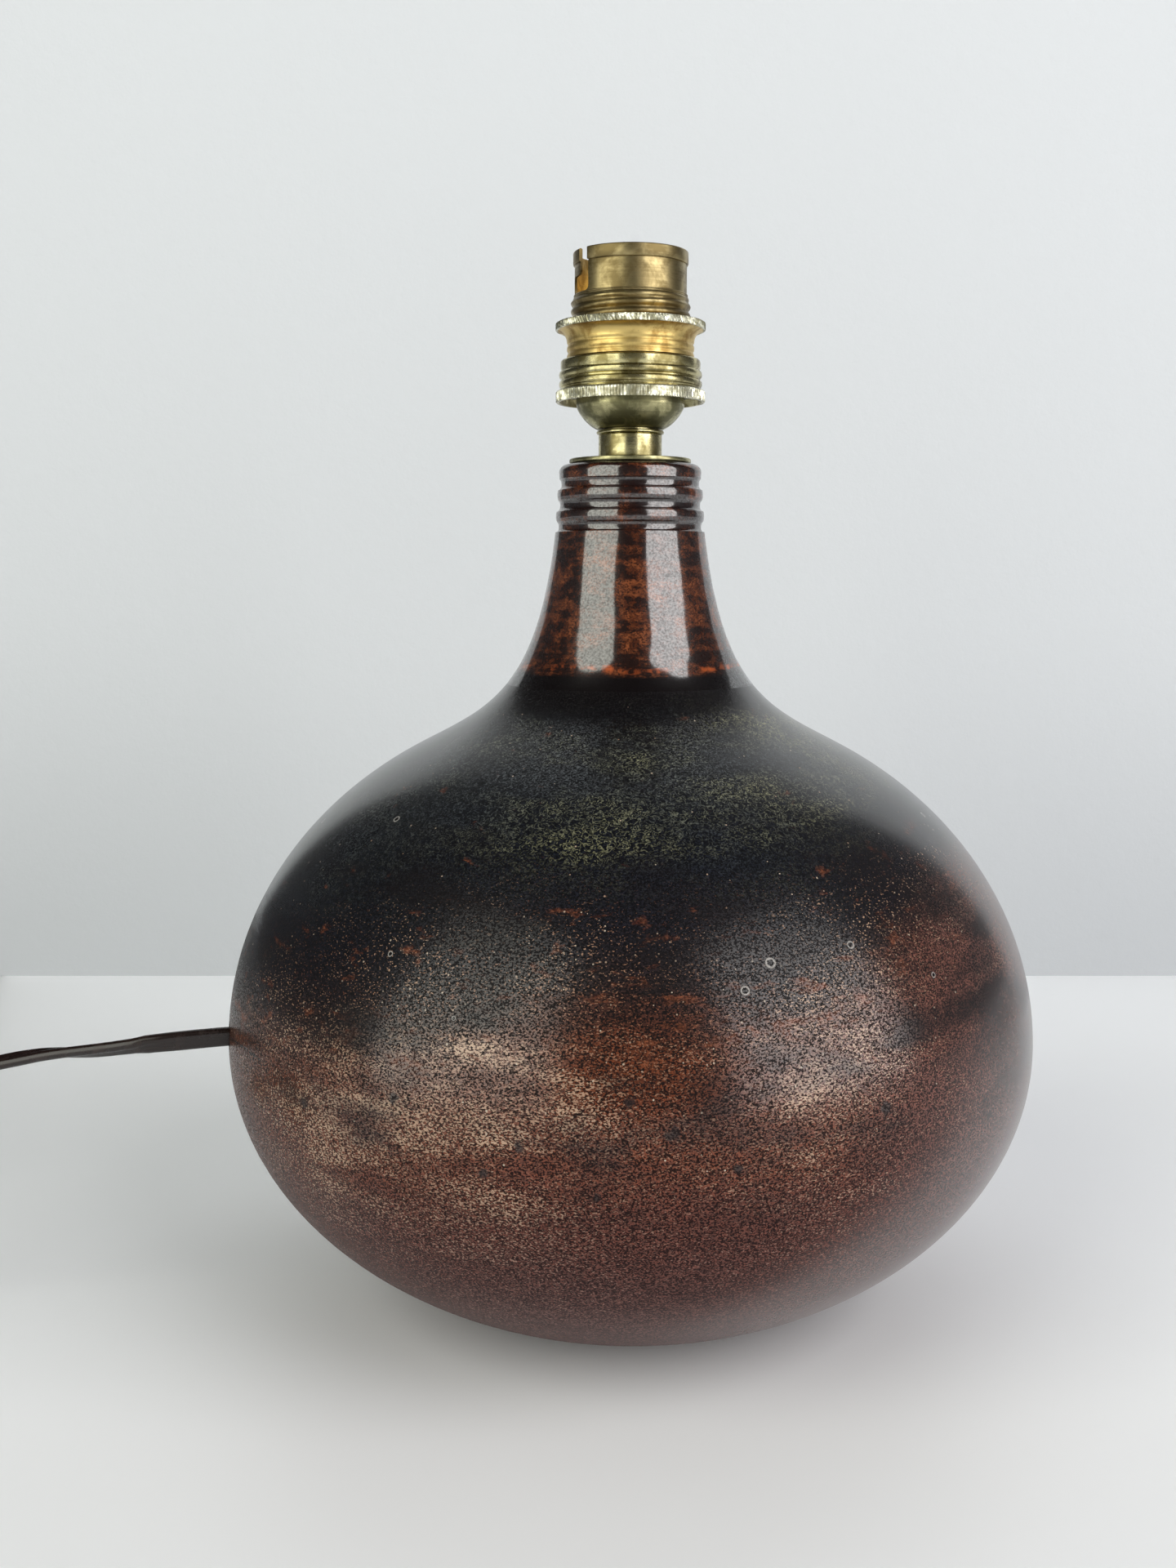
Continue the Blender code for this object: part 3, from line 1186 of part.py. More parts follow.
def build():
    clear_scene()
    glaze = make_material("iron_glaze", (0.13, 0.075, 0.055), 0.25)
    old_brass = make_material("aged_brass", (0.45, 0.38, 0.22), 0.35, 1.0)
    bright_brass = make_material("bright_brass", (0.78, 0.66, 0.36), 0.22, 1.0)
    steel = make_material("zinc_steel", (0.55, 0.56, 0.57), 0.4, 1.0)
    rubber = make_material("bush_rubber", (0.05, 0.045, 0.04), 0.7)
    porcelain = make_material("porcelain", (0.85, 0.84, 0.80), 0.3)
    sheath = make_material("flex_sheath", (0.035, 0.022, 0.016), 0.4)
    copper = make_material("core_copper", (0.72, 0.42, 0.27), 0.35, 1.0)
    plastic = make_material("brown_plastic", (0.045, 0.028, 0.02), 0.4)

    stoneware_body(glaze)
    neck_bush(rubber)
    washer("neck_washer", NECK_WASHER_RADIUS, NECK_WASHER_THICKNESS, NECK_WASHER_BOTTOM, old_brass)
    threaded_tube(steel)
    clamp_bar(steel)
    washer(
        "clamp_washer", CLAMP_WASHER_RADIUS, CLAMP_WASHER_THICKNESS,
        CLAMP_WASHER_TOP - CLAMP_WASHER_THICKNESS, steel,
    )
    clamp_nut(bright_brass)
    entry_collar(bright_brass)
    holder_dome(old_brass)
    clamp_ring(bright_brass)
    barrel(old_brass)
    shade_ring(bright_brass)
    porcelain_core(porcelain)
    contact_set("front", 1, bright_brass, steel)
    contact_set("rear", -1, bright_brass, steel)
    switch_mouth, cord_end = flex_pieces(sheath, copper)
    coil_tie(sheath)
    inline_switch(switch_mouth, plastic, bright_brass, steel)
    plug(cord_end, plastic, bright_brass)


build()
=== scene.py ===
import math

import bmesh
import bpy
from mathutils import Matrix, Vector, noise


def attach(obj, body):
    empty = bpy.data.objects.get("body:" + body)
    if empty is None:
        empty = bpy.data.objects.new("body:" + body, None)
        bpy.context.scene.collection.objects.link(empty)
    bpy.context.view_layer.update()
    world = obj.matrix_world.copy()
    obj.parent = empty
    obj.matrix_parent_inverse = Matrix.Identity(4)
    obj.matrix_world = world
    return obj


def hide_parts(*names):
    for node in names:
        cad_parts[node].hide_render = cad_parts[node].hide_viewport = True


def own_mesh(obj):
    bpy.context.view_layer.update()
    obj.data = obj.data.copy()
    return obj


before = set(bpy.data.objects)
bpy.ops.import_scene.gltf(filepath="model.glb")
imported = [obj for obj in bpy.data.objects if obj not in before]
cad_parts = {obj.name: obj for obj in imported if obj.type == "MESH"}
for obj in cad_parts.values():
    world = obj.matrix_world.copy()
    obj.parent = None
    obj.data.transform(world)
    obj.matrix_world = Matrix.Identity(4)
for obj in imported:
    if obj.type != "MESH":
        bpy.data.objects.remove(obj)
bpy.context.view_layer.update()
mm = 0.001
scene = bpy.context.scene

# camera

cameraSet = {"place": (-0.0098, -0.377, 0.172), "pitch": 82.41, "lens": 36.5625, "sensor": 36.0}

def makeCamera(values):
    data = bpy.data.cameras.new("camera")
    data.sensor_width = values["sensor"]
    data.lens = values["lens"]
    data.clip_start = 0.01
    camera = bpy.data.objects.new("camera", data)
    camera.location = values["place"]
    camera.rotation_euler = (math.radians(values["pitch"]), 0, 0)
    scene.collection.objects.link(camera)
    scene.camera = camera

makeCamera(cameraSet)
print("camera placed")

# small helpers for meshes

def ride(piece, body="lamp", nodes=()):
    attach(piece, body)
    if nodes:
        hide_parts(*nodes)
    return piece

sharpAngle = math.radians(35)

# ends a bmesh as an object
def makePiece(name, shape, material):
    mesh = bpy.data.meshes.new(name)
    shape.to_mesh(mesh)
    shape.free()
    mesh.materials.append(material)
    piece = bpy.data.objects.new(name, mesh)
    scene.collection.objects.link(piece)
    mesh.shade_smooth()
    mesh.set_sharp_from_angle(angle=sharpAngle)
    return piece

# a share held between 0 and 1, eased in and out
def eased(share):
    share = min(1.0, max(0.0, share))
    return share * share * (3 - 2 * share)

def arc(across, up, centre, start, end, steps):
    points = []
    for step in range(steps + 1):
        angle = math.radians(start + (end - start) * step / steps)
        points.append((centre[0] + across * math.cos(angle), centre[1] + up * math.sin(angle)))
    return points

def bezier(start, startHandle, endHandle, end, steps):
    points = []
    for step in range(steps + 1):
        t = step / steps
        weights = ((1 - t) ** 3, 3 * t * (1 - t) ** 2, 3 * t * t * (1 - t), t ** 3)
        corners = (start, startHandle, endHandle, end)
        points.append(tuple(sum(w * c[i] for w, c in zip(weights, corners)) for i in (0, 1)))
    return points

# an outline with its corners rounded, each no more than its sides allow
def softened(corners, radius, steps=4):
    points = []
    for index, corner in enumerate(corners):
        here = Vector(corner)
        before = Vector(corners[index - 1]) - here
        after = Vector(corners[(index + 1) % len(corners)]) - here
        reach = min(radius, before.length * 0.45, after.length * 0.45)
        first = here + before.normalized() * reach
        last = here + after.normalized() * reach
        for step in range(steps + 1):
            t = step / steps
            bend = first * (1 - t) ** 2 + here * 2 * t * (1 - t) + last * t * t
            points.append((bend.x, bend.y))
    return points

# spins an outline of (radius, height) in millimetres about the lamp's axis
def latheShape(outline, steps, closed=True):
    shape = bmesh.new()
    verts = [shape.verts.new((radius * mm, 0, height * mm)) for radius, height in outline]
    edges = [shape.edges.new(pair) for pair in zip(verts, verts[1:])]
    if closed:
        edges.append(shape.edges.new((verts[-1], verts[0])))
    bmesh.ops.spin(
        shape, geom=verts + edges, axis=(0, 0, 1), cent=(0, 0, 0), steps=steps,
        angle=math.tau, use_merge=True,
    )
    bmesh.ops.remove_doubles(shape, verts=shape.verts, dist=1e-7)
    bmesh.ops.recalc_face_normals(shape, faces=shape.faces)
    return shape

def lathe(name, outline, material, steps=128, warp=None, closed=True):
    shape = latheShape(outline, steps, closed)
    if warp:
        for vert in shape.verts:
            warp(vert.co)
    return makePiece(name, shape, material)

def roundedBox(length, width, radius, steps=6):
    points = []
    for across, up, first in ((1, 1, 0), (-1, 1, 90), (-1, -1, 180), (1, -1, 270)):
        centre = (across * (length / 2 - radius), up * (width / 2 - radius))
        points += arc(radius, radius, centre, first, first + 90, steps)
    return points

# a rounded box's outlines about (x, y), one for each level and inset
def boxRows(x, y, length, width, corner, levels, steps=6):
    rows = []
    for level, inset in levels:
        outline = roundedBox(length - 2 * inset, width - 2 * inset, corner - inset, steps)
        rows.append([(x + a, y + b, level) for a, b in outline])
    return rows

# rows of points in millimetres, each joined to the next, closed at the ends or into a loop
def stack(name, rows, material, loop=False):
    shape = bmesh.new()
    rings = [[shape.verts.new(Vector(point) * mm) for point in row] for row in rows]
    pairs = list(zip(rings, rings[1:])) + ([(rings[-1], rings[0])] if loop else [])
    for low, high in pairs:
        for index in range(len(low)):
            following = (index + 1) % len(low)
            shape.faces.new((low[index], low[following], high[following], high[index]))
    if not loop:
        shape.faces.new(rings[0][::-1])
        shape.faces.new(rings[-1])
    bmesh.ops.recalc_face_normals(shape, faces=shape.faces)
    return makePiece(name, shape, material)

# a plain round bar from one point to another, in metres
def rod(name, radius, start, end, material, steps=48):
    start, end = Vector(start), Vector(end)
    along = end - start
    shape = bmesh.new()
    bmesh.ops.create_cone(
        shape, cap_ends=True, segments=steps, radius1=radius * mm, radius2=radius * mm,
        depth=along.length,
    )
    turn = along.to_track_quat("Z", "Y").to_matrix().to_4x4()
    bmesh.ops.transform(
        shape, matrix=Matrix.Translation((start + end) / 2) @ turn, verts=shape.verts,
    )
    return makePiece(name, shape, material)

# puts a piece's place and modifiers into its mesh
def settle(piece):
    bpy.context.view_layer.update()
    ready = piece.evaluated_get(bpy.context.evaluated_depsgraph_get())
    mesh = bpy.data.meshes.new_from_object(ready)
    mesh.transform(piece.matrix_world)
    if piece.matrix_world.determinant() < 0:
        mesh.flip_normals()
    piece.modifiers.clear()
    if piece.type == "MESH":
        piece.data = mesh
        piece.matrix_world = Matrix.Identity(4)
        return piece
    name = piece.name
    bpy.data.objects.remove(piece, do_unlink=True)
    made = bpy.data.objects.new(name, mesh)
    scene.collection.objects.link(made)
    return made

def carve(piece, cutters, join=False):
    for cutter in cutters:
        step = piece.modifiers.new(cutter.name, "BOOLEAN")
        step.operation = "UNION" if join else "DIFFERENCE"
        step.solver = "EXACT"
        step.object = cutter
    settle(piece)
    for cutter in cutters:
        bpy.data.objects.remove(cutter, do_unlink=True)
    piece.data.shade_smooth()
    piece.data.set_sharp_from_angle(angle=sharpAngle)
    return piece

# small helpers for materials

# a colour as it looks on screen, 0 to 255
def paint(red, green, blue):
    def linear(value):
        value /= 255
        return value / 12.92 if value <= 0.04045 else ((value + 0.055) / 1.055) ** 2.4
    return (linear(red), linear(green), linear(blue), 1.0)

def addNode(tree, kind, inputs=None, **settings):
    made = tree.nodes.new(kind)
    for key, value in settings.items():
        setattr(made, key, value)
    for key, value in (inputs or {}).items():
        if isinstance(value, bpy.types.NodeSocket):
            tree.links.new(value, made.inputs[key])
        else:
            made.inputs[key].default_value = value
    return made

def sums(tree, operation, first, second=0.0, third=0.0, clamp=False):
    return addNode(
        tree, "ShaderNodeMath", {0: first, 1: second, 2: third}, operation=operation,
        use_clamp=clamp,
    ).outputs[0]

# the distance of a value from a level
def apart(tree, value, level):
    return sums(tree, "ABSOLUTE", sums(tree, "SUBTRACT", value, level))

def vectors(tree, operation, first, second, result="Value"):
    return addNode(
        tree, "ShaderNodeVectorMath", {0: first, 1: second}, operation=operation,
    ).outputs[result]

def blend(tree, factor, first, second):
    return addNode(
        tree, "ShaderNodeMix", {0: factor, 6: first, 7: second}, data_type="RGBA",
    ).outputs[2]

def stretch(tree, value, low, high, toLow=0.0, toHigh=1.0, smooth=False):
    kind = "SMOOTHSTEP" if smooth else "LINEAR"
    return addNode(
        tree, "ShaderNodeMapRange",
        {0: value, 1: low, 2: high, 3: toLow, 4: toHigh}, interpolation_type=kind,
    ).outputs[0]

def grain(tree, place, scale, detail=3.0, rough=0.55, twist=0.0):
    return addNode(
        tree, "ShaderNodeTexNoise",
        {"Vector": place, "Scale": scale, "Detail": detail, "Roughness": rough, "Distortion": twist},
    ).outputs["Fac"]

def cells(tree, place, scale):
    return addNode(tree, "ShaderNodeTexVoronoi", {"Vector": place, "Scale": scale}).outputs

# a colour ramp from (position, colour) pairs
def ladder(tree, value, stops):
    made = addNode(tree, "ShaderNodeValToRGB", {0: value})
    while len(made.color_ramp.elements) < len(stops):
        made.color_ramp.elements.new(0.5)
    for element, (position, colour) in zip(made.color_ramp.elements, stops):
        element.position = position
        element.color = colour
    return made.outputs[0]

# a number ramp from (position, value) pairs, rising in position
def steps(tree, value, stops):
    return ladder(tree, value, [(place, (level, level, level, 1)) for place, level in stops])

def mapped(tree, place, scale=(1, 1, 1), shift=(0, 0, 0)):
    return addNode(
        tree, "ShaderNodeMapping", {"Vector": place, "Location": shift, "Scale": scale},
    ).outputs[0]

# soft patches: a noise that shows between two of its levels
def patches(tree, place, scale, shift, size, detail, rough, low, high):
    return stretch(tree, grain(tree, mapped(tree, place, scale, shift), size, detail, rough), low, high)

def newMaterial(name):
    material = bpy.data.materials.new(name)
    material.use_nodes = True
    tree = material.node_tree
    shader = tree.nodes["Principled BSDF"]
    place = addNode(tree, "ShaderNodeTexCoord").outputs["Object"]
    return material, tree, shader, place

def setInputs(shader, values):
    for name, value in values.items():
        shader.inputs[name].default_value = value

# raises a surface by a height, to a depth in millimetres
def addBump(tree, shader, height, strength, depth):
    bumps = addNode(
        tree, "ShaderNodeBump", {"Height": height, "Strength": strength, "Distance": depth * mm},
    )
    tree.links.new(bumps.outputs[0], shader.inputs["Normal"])

def newGroup(name, inputs, outputs):
    group = bpy.data.node_groups.new(name, "ShaderNodeTree")
    for label, kind, value in inputs:
        socket = group.interface.new_socket(label, in_out="INPUT", socket_type=kind)
        if value is not None:
            socket.default_value = value
    for label, kind in outputs:
        group.interface.new_socket(label, in_out="OUTPUT", socket_type=kind)
    entry = group.nodes.new("NodeGroupInput").outputs
    exit = group.nodes.new("NodeGroupOutput").inputs
    return group, entry, exit

def useGroup(tree, group, inputs):
    return addNode(tree, "ShaderNodeGroup", inputs, node_tree=group).outputs

# shared effects

# scattered specks: dots of a size, kept where a noise and a share let them be
def makeSpeckGroup():
    group, entry, exit = newGroup(
        "scatteredSpecks",
        [("Place", "NodeSocketVector", None), ("Scale", "NodeSocketFloat", 900.0),
         ("Size", "NodeSocketFloat", 0.35), ("Share", "NodeSocketFloat", 0.5)],
        [("Mask", "NodeSocketFloat"), ("Tone", "NodeSocketFloat")],
    )
    spots = cells(group, entry["Place"], entry["Scale"])
    tone = addNode(group, "ShaderNodeSeparateColor", {0: spots["Color"]}).outputs
    chosen = sums(group, "LESS_THAN", tone[0], entry["Share"])
    reach = sums(group, "MULTIPLY_ADD", tone[1], 0.5, 0.6)
    reach = sums(group, "MULTIPLY", reach, entry["Size"])
    near = sums(group, "DIVIDE", spots["Distance"], reach)
    dot = stretch(group, near, 0.75, 1.1, 1.0, 0.0, smooth=True)
    group.links.new(sums(group, "MULTIPLY", dot, chosen), exit["Mask"])
    group.links.new(tone[2], exit["Tone"])
    return group

# a metal's or plastic's handled surface: cloudy tarnish, turning lines and small pits
def makeWearGroup():
    group, entry, exit = newGroup(
        "handledSurface",
        [("Place", "NodeSocketVector", None), ("Clean", "NodeSocketColor", (0.7, 0.6, 0.3, 1)),
         ("Worn", "NodeSocketColor", (0.3, 0.25, 0.12, 1)), ("Cloud", "NodeSocketFloat", 180.0),
         ("Share", "NodeSocketFloat", 0.5), ("Lines", "NodeSocketFloat", 1.0),
         ("Gloss", "NodeSocketFloat", 0.25), ("Dull", "NodeSocketFloat", 0.45)],
        [("Colour", "NodeSocketColor"), ("Roughness", "NodeSocketFloat"),
         ("Height", "NodeSocketFloat")],
    )
    clouds = grain(group, entry["Place"], entry["Cloud"], 5.0, 0.62, 0.4)
    flat = mapped(group, entry["Place"], (60, 60, 5200))
    lines = grain(group, flat, 1.0, 2.0, 0.6)
    tarnish = stretch(
        group, sums(group, "ADD", clouds, sums(group, "MULTIPLY", lines, 0.12)),
        sums(group, "SUBTRACT", 0.92, entry["Share"]),
        sums(group, "SUBTRACT", 1.18, entry["Share"]), smooth=True,
    )
    pits = cells(group, entry["Place"], 1500.0)
    pit = stretch(group, pits["Distance"], 0.08, 0.2, 1.0, 0.0)
    picked = addNode(group, "ShaderNodeSeparateColor", {0: pits["Color"]}).outputs[0]
    pit = sums(group, "MULTIPLY", pit, sums(group, "LESS_THAN", picked, 0.05))
    colour = blend(group, tarnish, entry["Clean"], entry["Worn"])
    colour = blend(group, sums(group, "MULTIPLY", pit, 0.7), colour, (0.03, 0.022, 0.012, 1))
    group.links.new(colour, exit["Colour"])
    rough = addNode(
        group, "ShaderNodeMix", {0: tarnish, 2: entry["Gloss"], 3: entry["Dull"]}, data_type="FLOAT",
    ).outputs[0]
    rough = sums(group, "MULTIPLY_ADD", lines, 0.08, rough)
    group.links.new(rough, exit["Roughness"])
    height = sums(group, "MULTIPLY", lines, entry["Lines"])
    height = sums(group, "MULTIPLY_ADD", clouds, 0.5, height)
    height = sums(group, "SUBTRACT", height, pit)
    group.links.new(height, exit["Height"])
    return group

# grains a little longer round the pot than up it, kept where the share lets them be
def makeStippleGroup():
    group, entry, exit = newGroup(
        "glazeStipple",
        [("Place", "NodeSocketVector", None), ("Scale", "NodeSocketFloat", 1300.0),
         ("Share", "NodeSocketFloat", 0.5), ("Soft", "NodeSocketFloat", 0.05)],
        [("Mask", "NodeSocketFloat"), ("Height", "NodeSocketFloat")],
    )
    level = grain(group, mapped(group, entry["Place"], (1, 1, 1.35)), entry["Scale"], 1.5, 0.6)
    limit = sums(group, "MULTIPLY_ADD", entry["Share"], -0.34, 0.67)
    low = sums(group, "SUBTRACT", limit, entry["Soft"])
    high = sums(group, "ADD", limit, entry["Soft"])
    mask = stretch(group, level, low, high)
    some = stretch(group, entry["Share"], 0.0, 0.03)
    group.links.new(sums(group, "MULTIPLY", mask, some), exit["Mask"])
    group.links.new(level, exit["Height"])
    return group

speckGroup = makeSpeckGroup()
stippleGroup = makeStippleGroup()
wearGroup = makeWearGroup()

def stipple(tree, place, scale, share, soft):
    return useGroup(
        tree, stippleGroup, {"Place": place, "Scale": scale, "Share": share, "Soft": soft},
    )

def wornMaterial(name, clean, worn, cloud, share, gloss, dull, lines, metallic):
    material, tree, shader, place = newMaterial(name)
    out = useGroup(tree, wearGroup, {
        "Place": place, "Clean": paint(*clean), "Worn": paint(*worn), "Cloud": cloud,
        "Share": share, "Lines": lines, "Gloss": gloss, "Dull": dull,
    })
    tree.links.new(out["Colour"], shader.inputs["Base Color"])
    tree.links.new(out["Roughness"], shader.inputs["Roughness"])
    shader.inputs["Metallic"].default_value = metallic
    addBump(tree, shader, out["Height"], 0.5, 0.02)
    return material

# glaze

glazeSet = {
    "waver": 5.0,               # how far the bands wander up and down
    "dip": 16.0, "rise": 17.0,  # how much lower they lie at the left, and higher at the right
    "split": 145.6,             # the glossy neck glaze starts here, inside the black band
    "craters": [                # turn in degrees, height, radius
        (286.9, 98.4, 1.05), (283.0, 94.0, 0.9), (299.3, 100.0, 0.8), (221.4, 120.2, 0.8),
        (235.5, 97.5, 0.6), (247.0, 88.0, 0.45), (192.6, 115.4, 0.7), (312.0, 92.0, 0.6),
        (30.0, 96.0, 0.9), (75.0, 104.0, 0.8), (120.0, 92.0, 0.7), (160.0, 110.0, 0.8),
        (340.0, 118.0, 0.7),
    ],
    "holeLine": [(197.3, 67.6), (202.5, 69.2), (207.6, 70.2), (213.4, 70.1)],  # turn, height
    "scar": [(295.6, 23.7), (298.2, 25.0), (300.7, 26.9)],
    "ironSpots": [
        (256.1, 66.3, 1.3), (251.9, 60.0, 1.1), (268.6, 75.1, 1.2), (273.6, 69.1, 1.5),
        (265.1, 56.8, 1.0), (281.0, 62.0, 0.9), (300.0, 70.0, 1.3), (240.0, 72.0, 1.2),
        (225.0, 66.0, 1.4), (320.0, 61.0, 1.1), (350.0, 70.0, 1.5), (20.0, 64.0, 1.2),
        (50.0, 74.0, 1.1), (90.0, 60.0, 1.4), (130.0, 68.0, 1.2), (170.0, 74.0, 1.2),
    ],
    "ballShine": {"Coat Roughness": 0.22, "Coat IOR": 1.6, "IOR": 1.5, "Specular IOR Level": 0.1},
    "neckShine": {"Coat Roughness": 0.1, "Coat IOR": 2.05, "IOR": 1.5, "Specular IOR Level": 0.15},
}

# a point of the vessel's side, in metres, from its turn and its height in millimetres
def onBall(turn, height):
    radius = ballRadius(height)
    angle = math.radians(turn)
    return Vector((radius * math.cos(angle), radius * math.sin(angle), height)) * mm

def ballRadius(height):
    side = vesselSide(0, 1.2, 60, 60)
    for (outer, low), (inner, high) in zip(side, side[1:]):
        if low <= height <= high:
            return outer + (inner - outer) * (height - low) / max(high - low, 1e-9)
    return side[-1][0]

vesselSet = {
    "ball": 95.0, "equator": 63.5, "below": 5.0, "rise": 80.0, "wall": 6.0, "base": 7.5,
    "foot": 39.0, "footRing": 9.0, "recess": 1.5, "footBevel": 1.2, "height": 196.6,
    "neck": 17.5, "taper": 0.9, "neckBottom": 181.15, "flareStart": 67.5, "flareLow": 0.371,
    "flareHigh": 0.774, "lean": 0.12, "rolls": 3, "pitch": 4.9, "groove": 2.35,
    "grooveDepth": 0.42, "lipRound": 1.8, "holeRadius": 3.5, "holeHeight": 66.8, "holeTurn": 194.6,
    "turns": 180, "uneven": 0.05, "neckUneven": 0.11,
}

def vesselSide(inset, bottom, bowlSteps, flareSteps):
    v = vesselSet
    across = v["ball"] - inset
    low = v["equator"] + v["below"] - inset
    high = v["rise"] - inset
    first = math.degrees(math.asin((bottom - v["equator"]) / low))
    last = math.degrees(math.asin(v["flareStart"] / high))
    lower = arc(across, low, (0, v["equator"]), first, 0, bowlSteps)
    upper = arc(across, high, (0, v["equator"]), 0, last, bowlSteps)
    start = Vector(upper[-1])
    lean = math.radians(last)
    slope = Vector((-across * math.sin(lean), high * math.cos(lean))).normalized()
    end = Vector((v["neck"] - inset, v["neckBottom"]))
    rise = Vector((-v["lean"], 1)).normalized()
    height = end.y - start.y
    leaving = start + slope * height * v["flareLow"]
    arriving = end - rise * height * v["flareHigh"]
    flare = bezier(start, leaving, arriving, end, flareSteps)
    return lower + upper[1:] + flare[1:]

# how far a point is from the nearest of some round spots, in that spot's radii
def nearestSpot(tree, place, spots):
    nearest = None
    for turn, height, radius in spots:
        away = vectors(tree, "DISTANCE", place, onBall(turn, height))
        away = sums(tree, "DIVIDE", away, radius * mm)
        nearest = away if nearest is None else sums(tree, "MINIMUM", nearest, away)
    return nearest

# how far a point is from a bent line of (turn, height) points on the vessel
def nearestLine(tree, place, route):
    nearest = None
    knots = [onBall(turn, height) for turn, height in route]
    for start, end in zip(knots, knots[1:]):
        along = end - start
        gone = vectors(tree, "SUBTRACT", place, start, "Vector")
        share = vectors(tree, "DOT_PRODUCT", gone, along / along.length_squared)
        share = sums(tree, "ADD", share, 0.0, clamp=True)
        foot = addNode(
            tree, "ShaderNodeVectorMath", {0: along, "Scale": share}, operation="SCALE",
        ).outputs["Vector"]
        away = vectors(tree, "DISTANCE", gone, foot)
        nearest = away if nearest is None else sums(tree, "MINIMUM", nearest, away)
    return nearest

# the height of a point as a share of the pot's, with the waver of hand-brushed bands
def wavedLevel(tree, place):
    g = glazeSet
    top = vesselSet["height"] * mm
    axes = addNode(tree, "ShaderNodeSeparateXYZ", {0: place}).outputs
    height = sums(tree, "DIVIDE", axes[2], top)
    across = sums(tree, "DIVIDE", axes[0], vesselSet["ball"] * mm)
    lower = sums(
        tree, "ADD", stretch(tree, across, -0.2, -1.0, 0.0, g["dip"]),
        stretch(tree, across, 0.3, 0.8, 0.0, -g["rise"], smooth=True),
    )
    lower = sums(tree, "MULTIPLY", lower, stretch(tree, height, at(138), at(112)))
    flatPlace = mapped(tree, place, (1, 1, 5))
    wander = sums(tree, "SUBTRACT", grain(tree, flatPlace, 22.0, 4.0, 0.6, 0.3), 0.5)
    fray = sums(tree, "SUBTRACT", grain(tree, flatPlace, 160.0, 4.0, 0.65), 0.5)
    lift = sums(tree, "MULTIPLY_ADD", wander, 1.2, fray)
    lift = sums(tree, "MULTIPLY_ADD", lift, g["waver"] * mm / top * 2.0, height)
    return height, sums(tree, "MULTIPLY_ADD", lower, 1 / vesselSet["height"], lift)

def at(height):
    return height / vesselSet["height"]

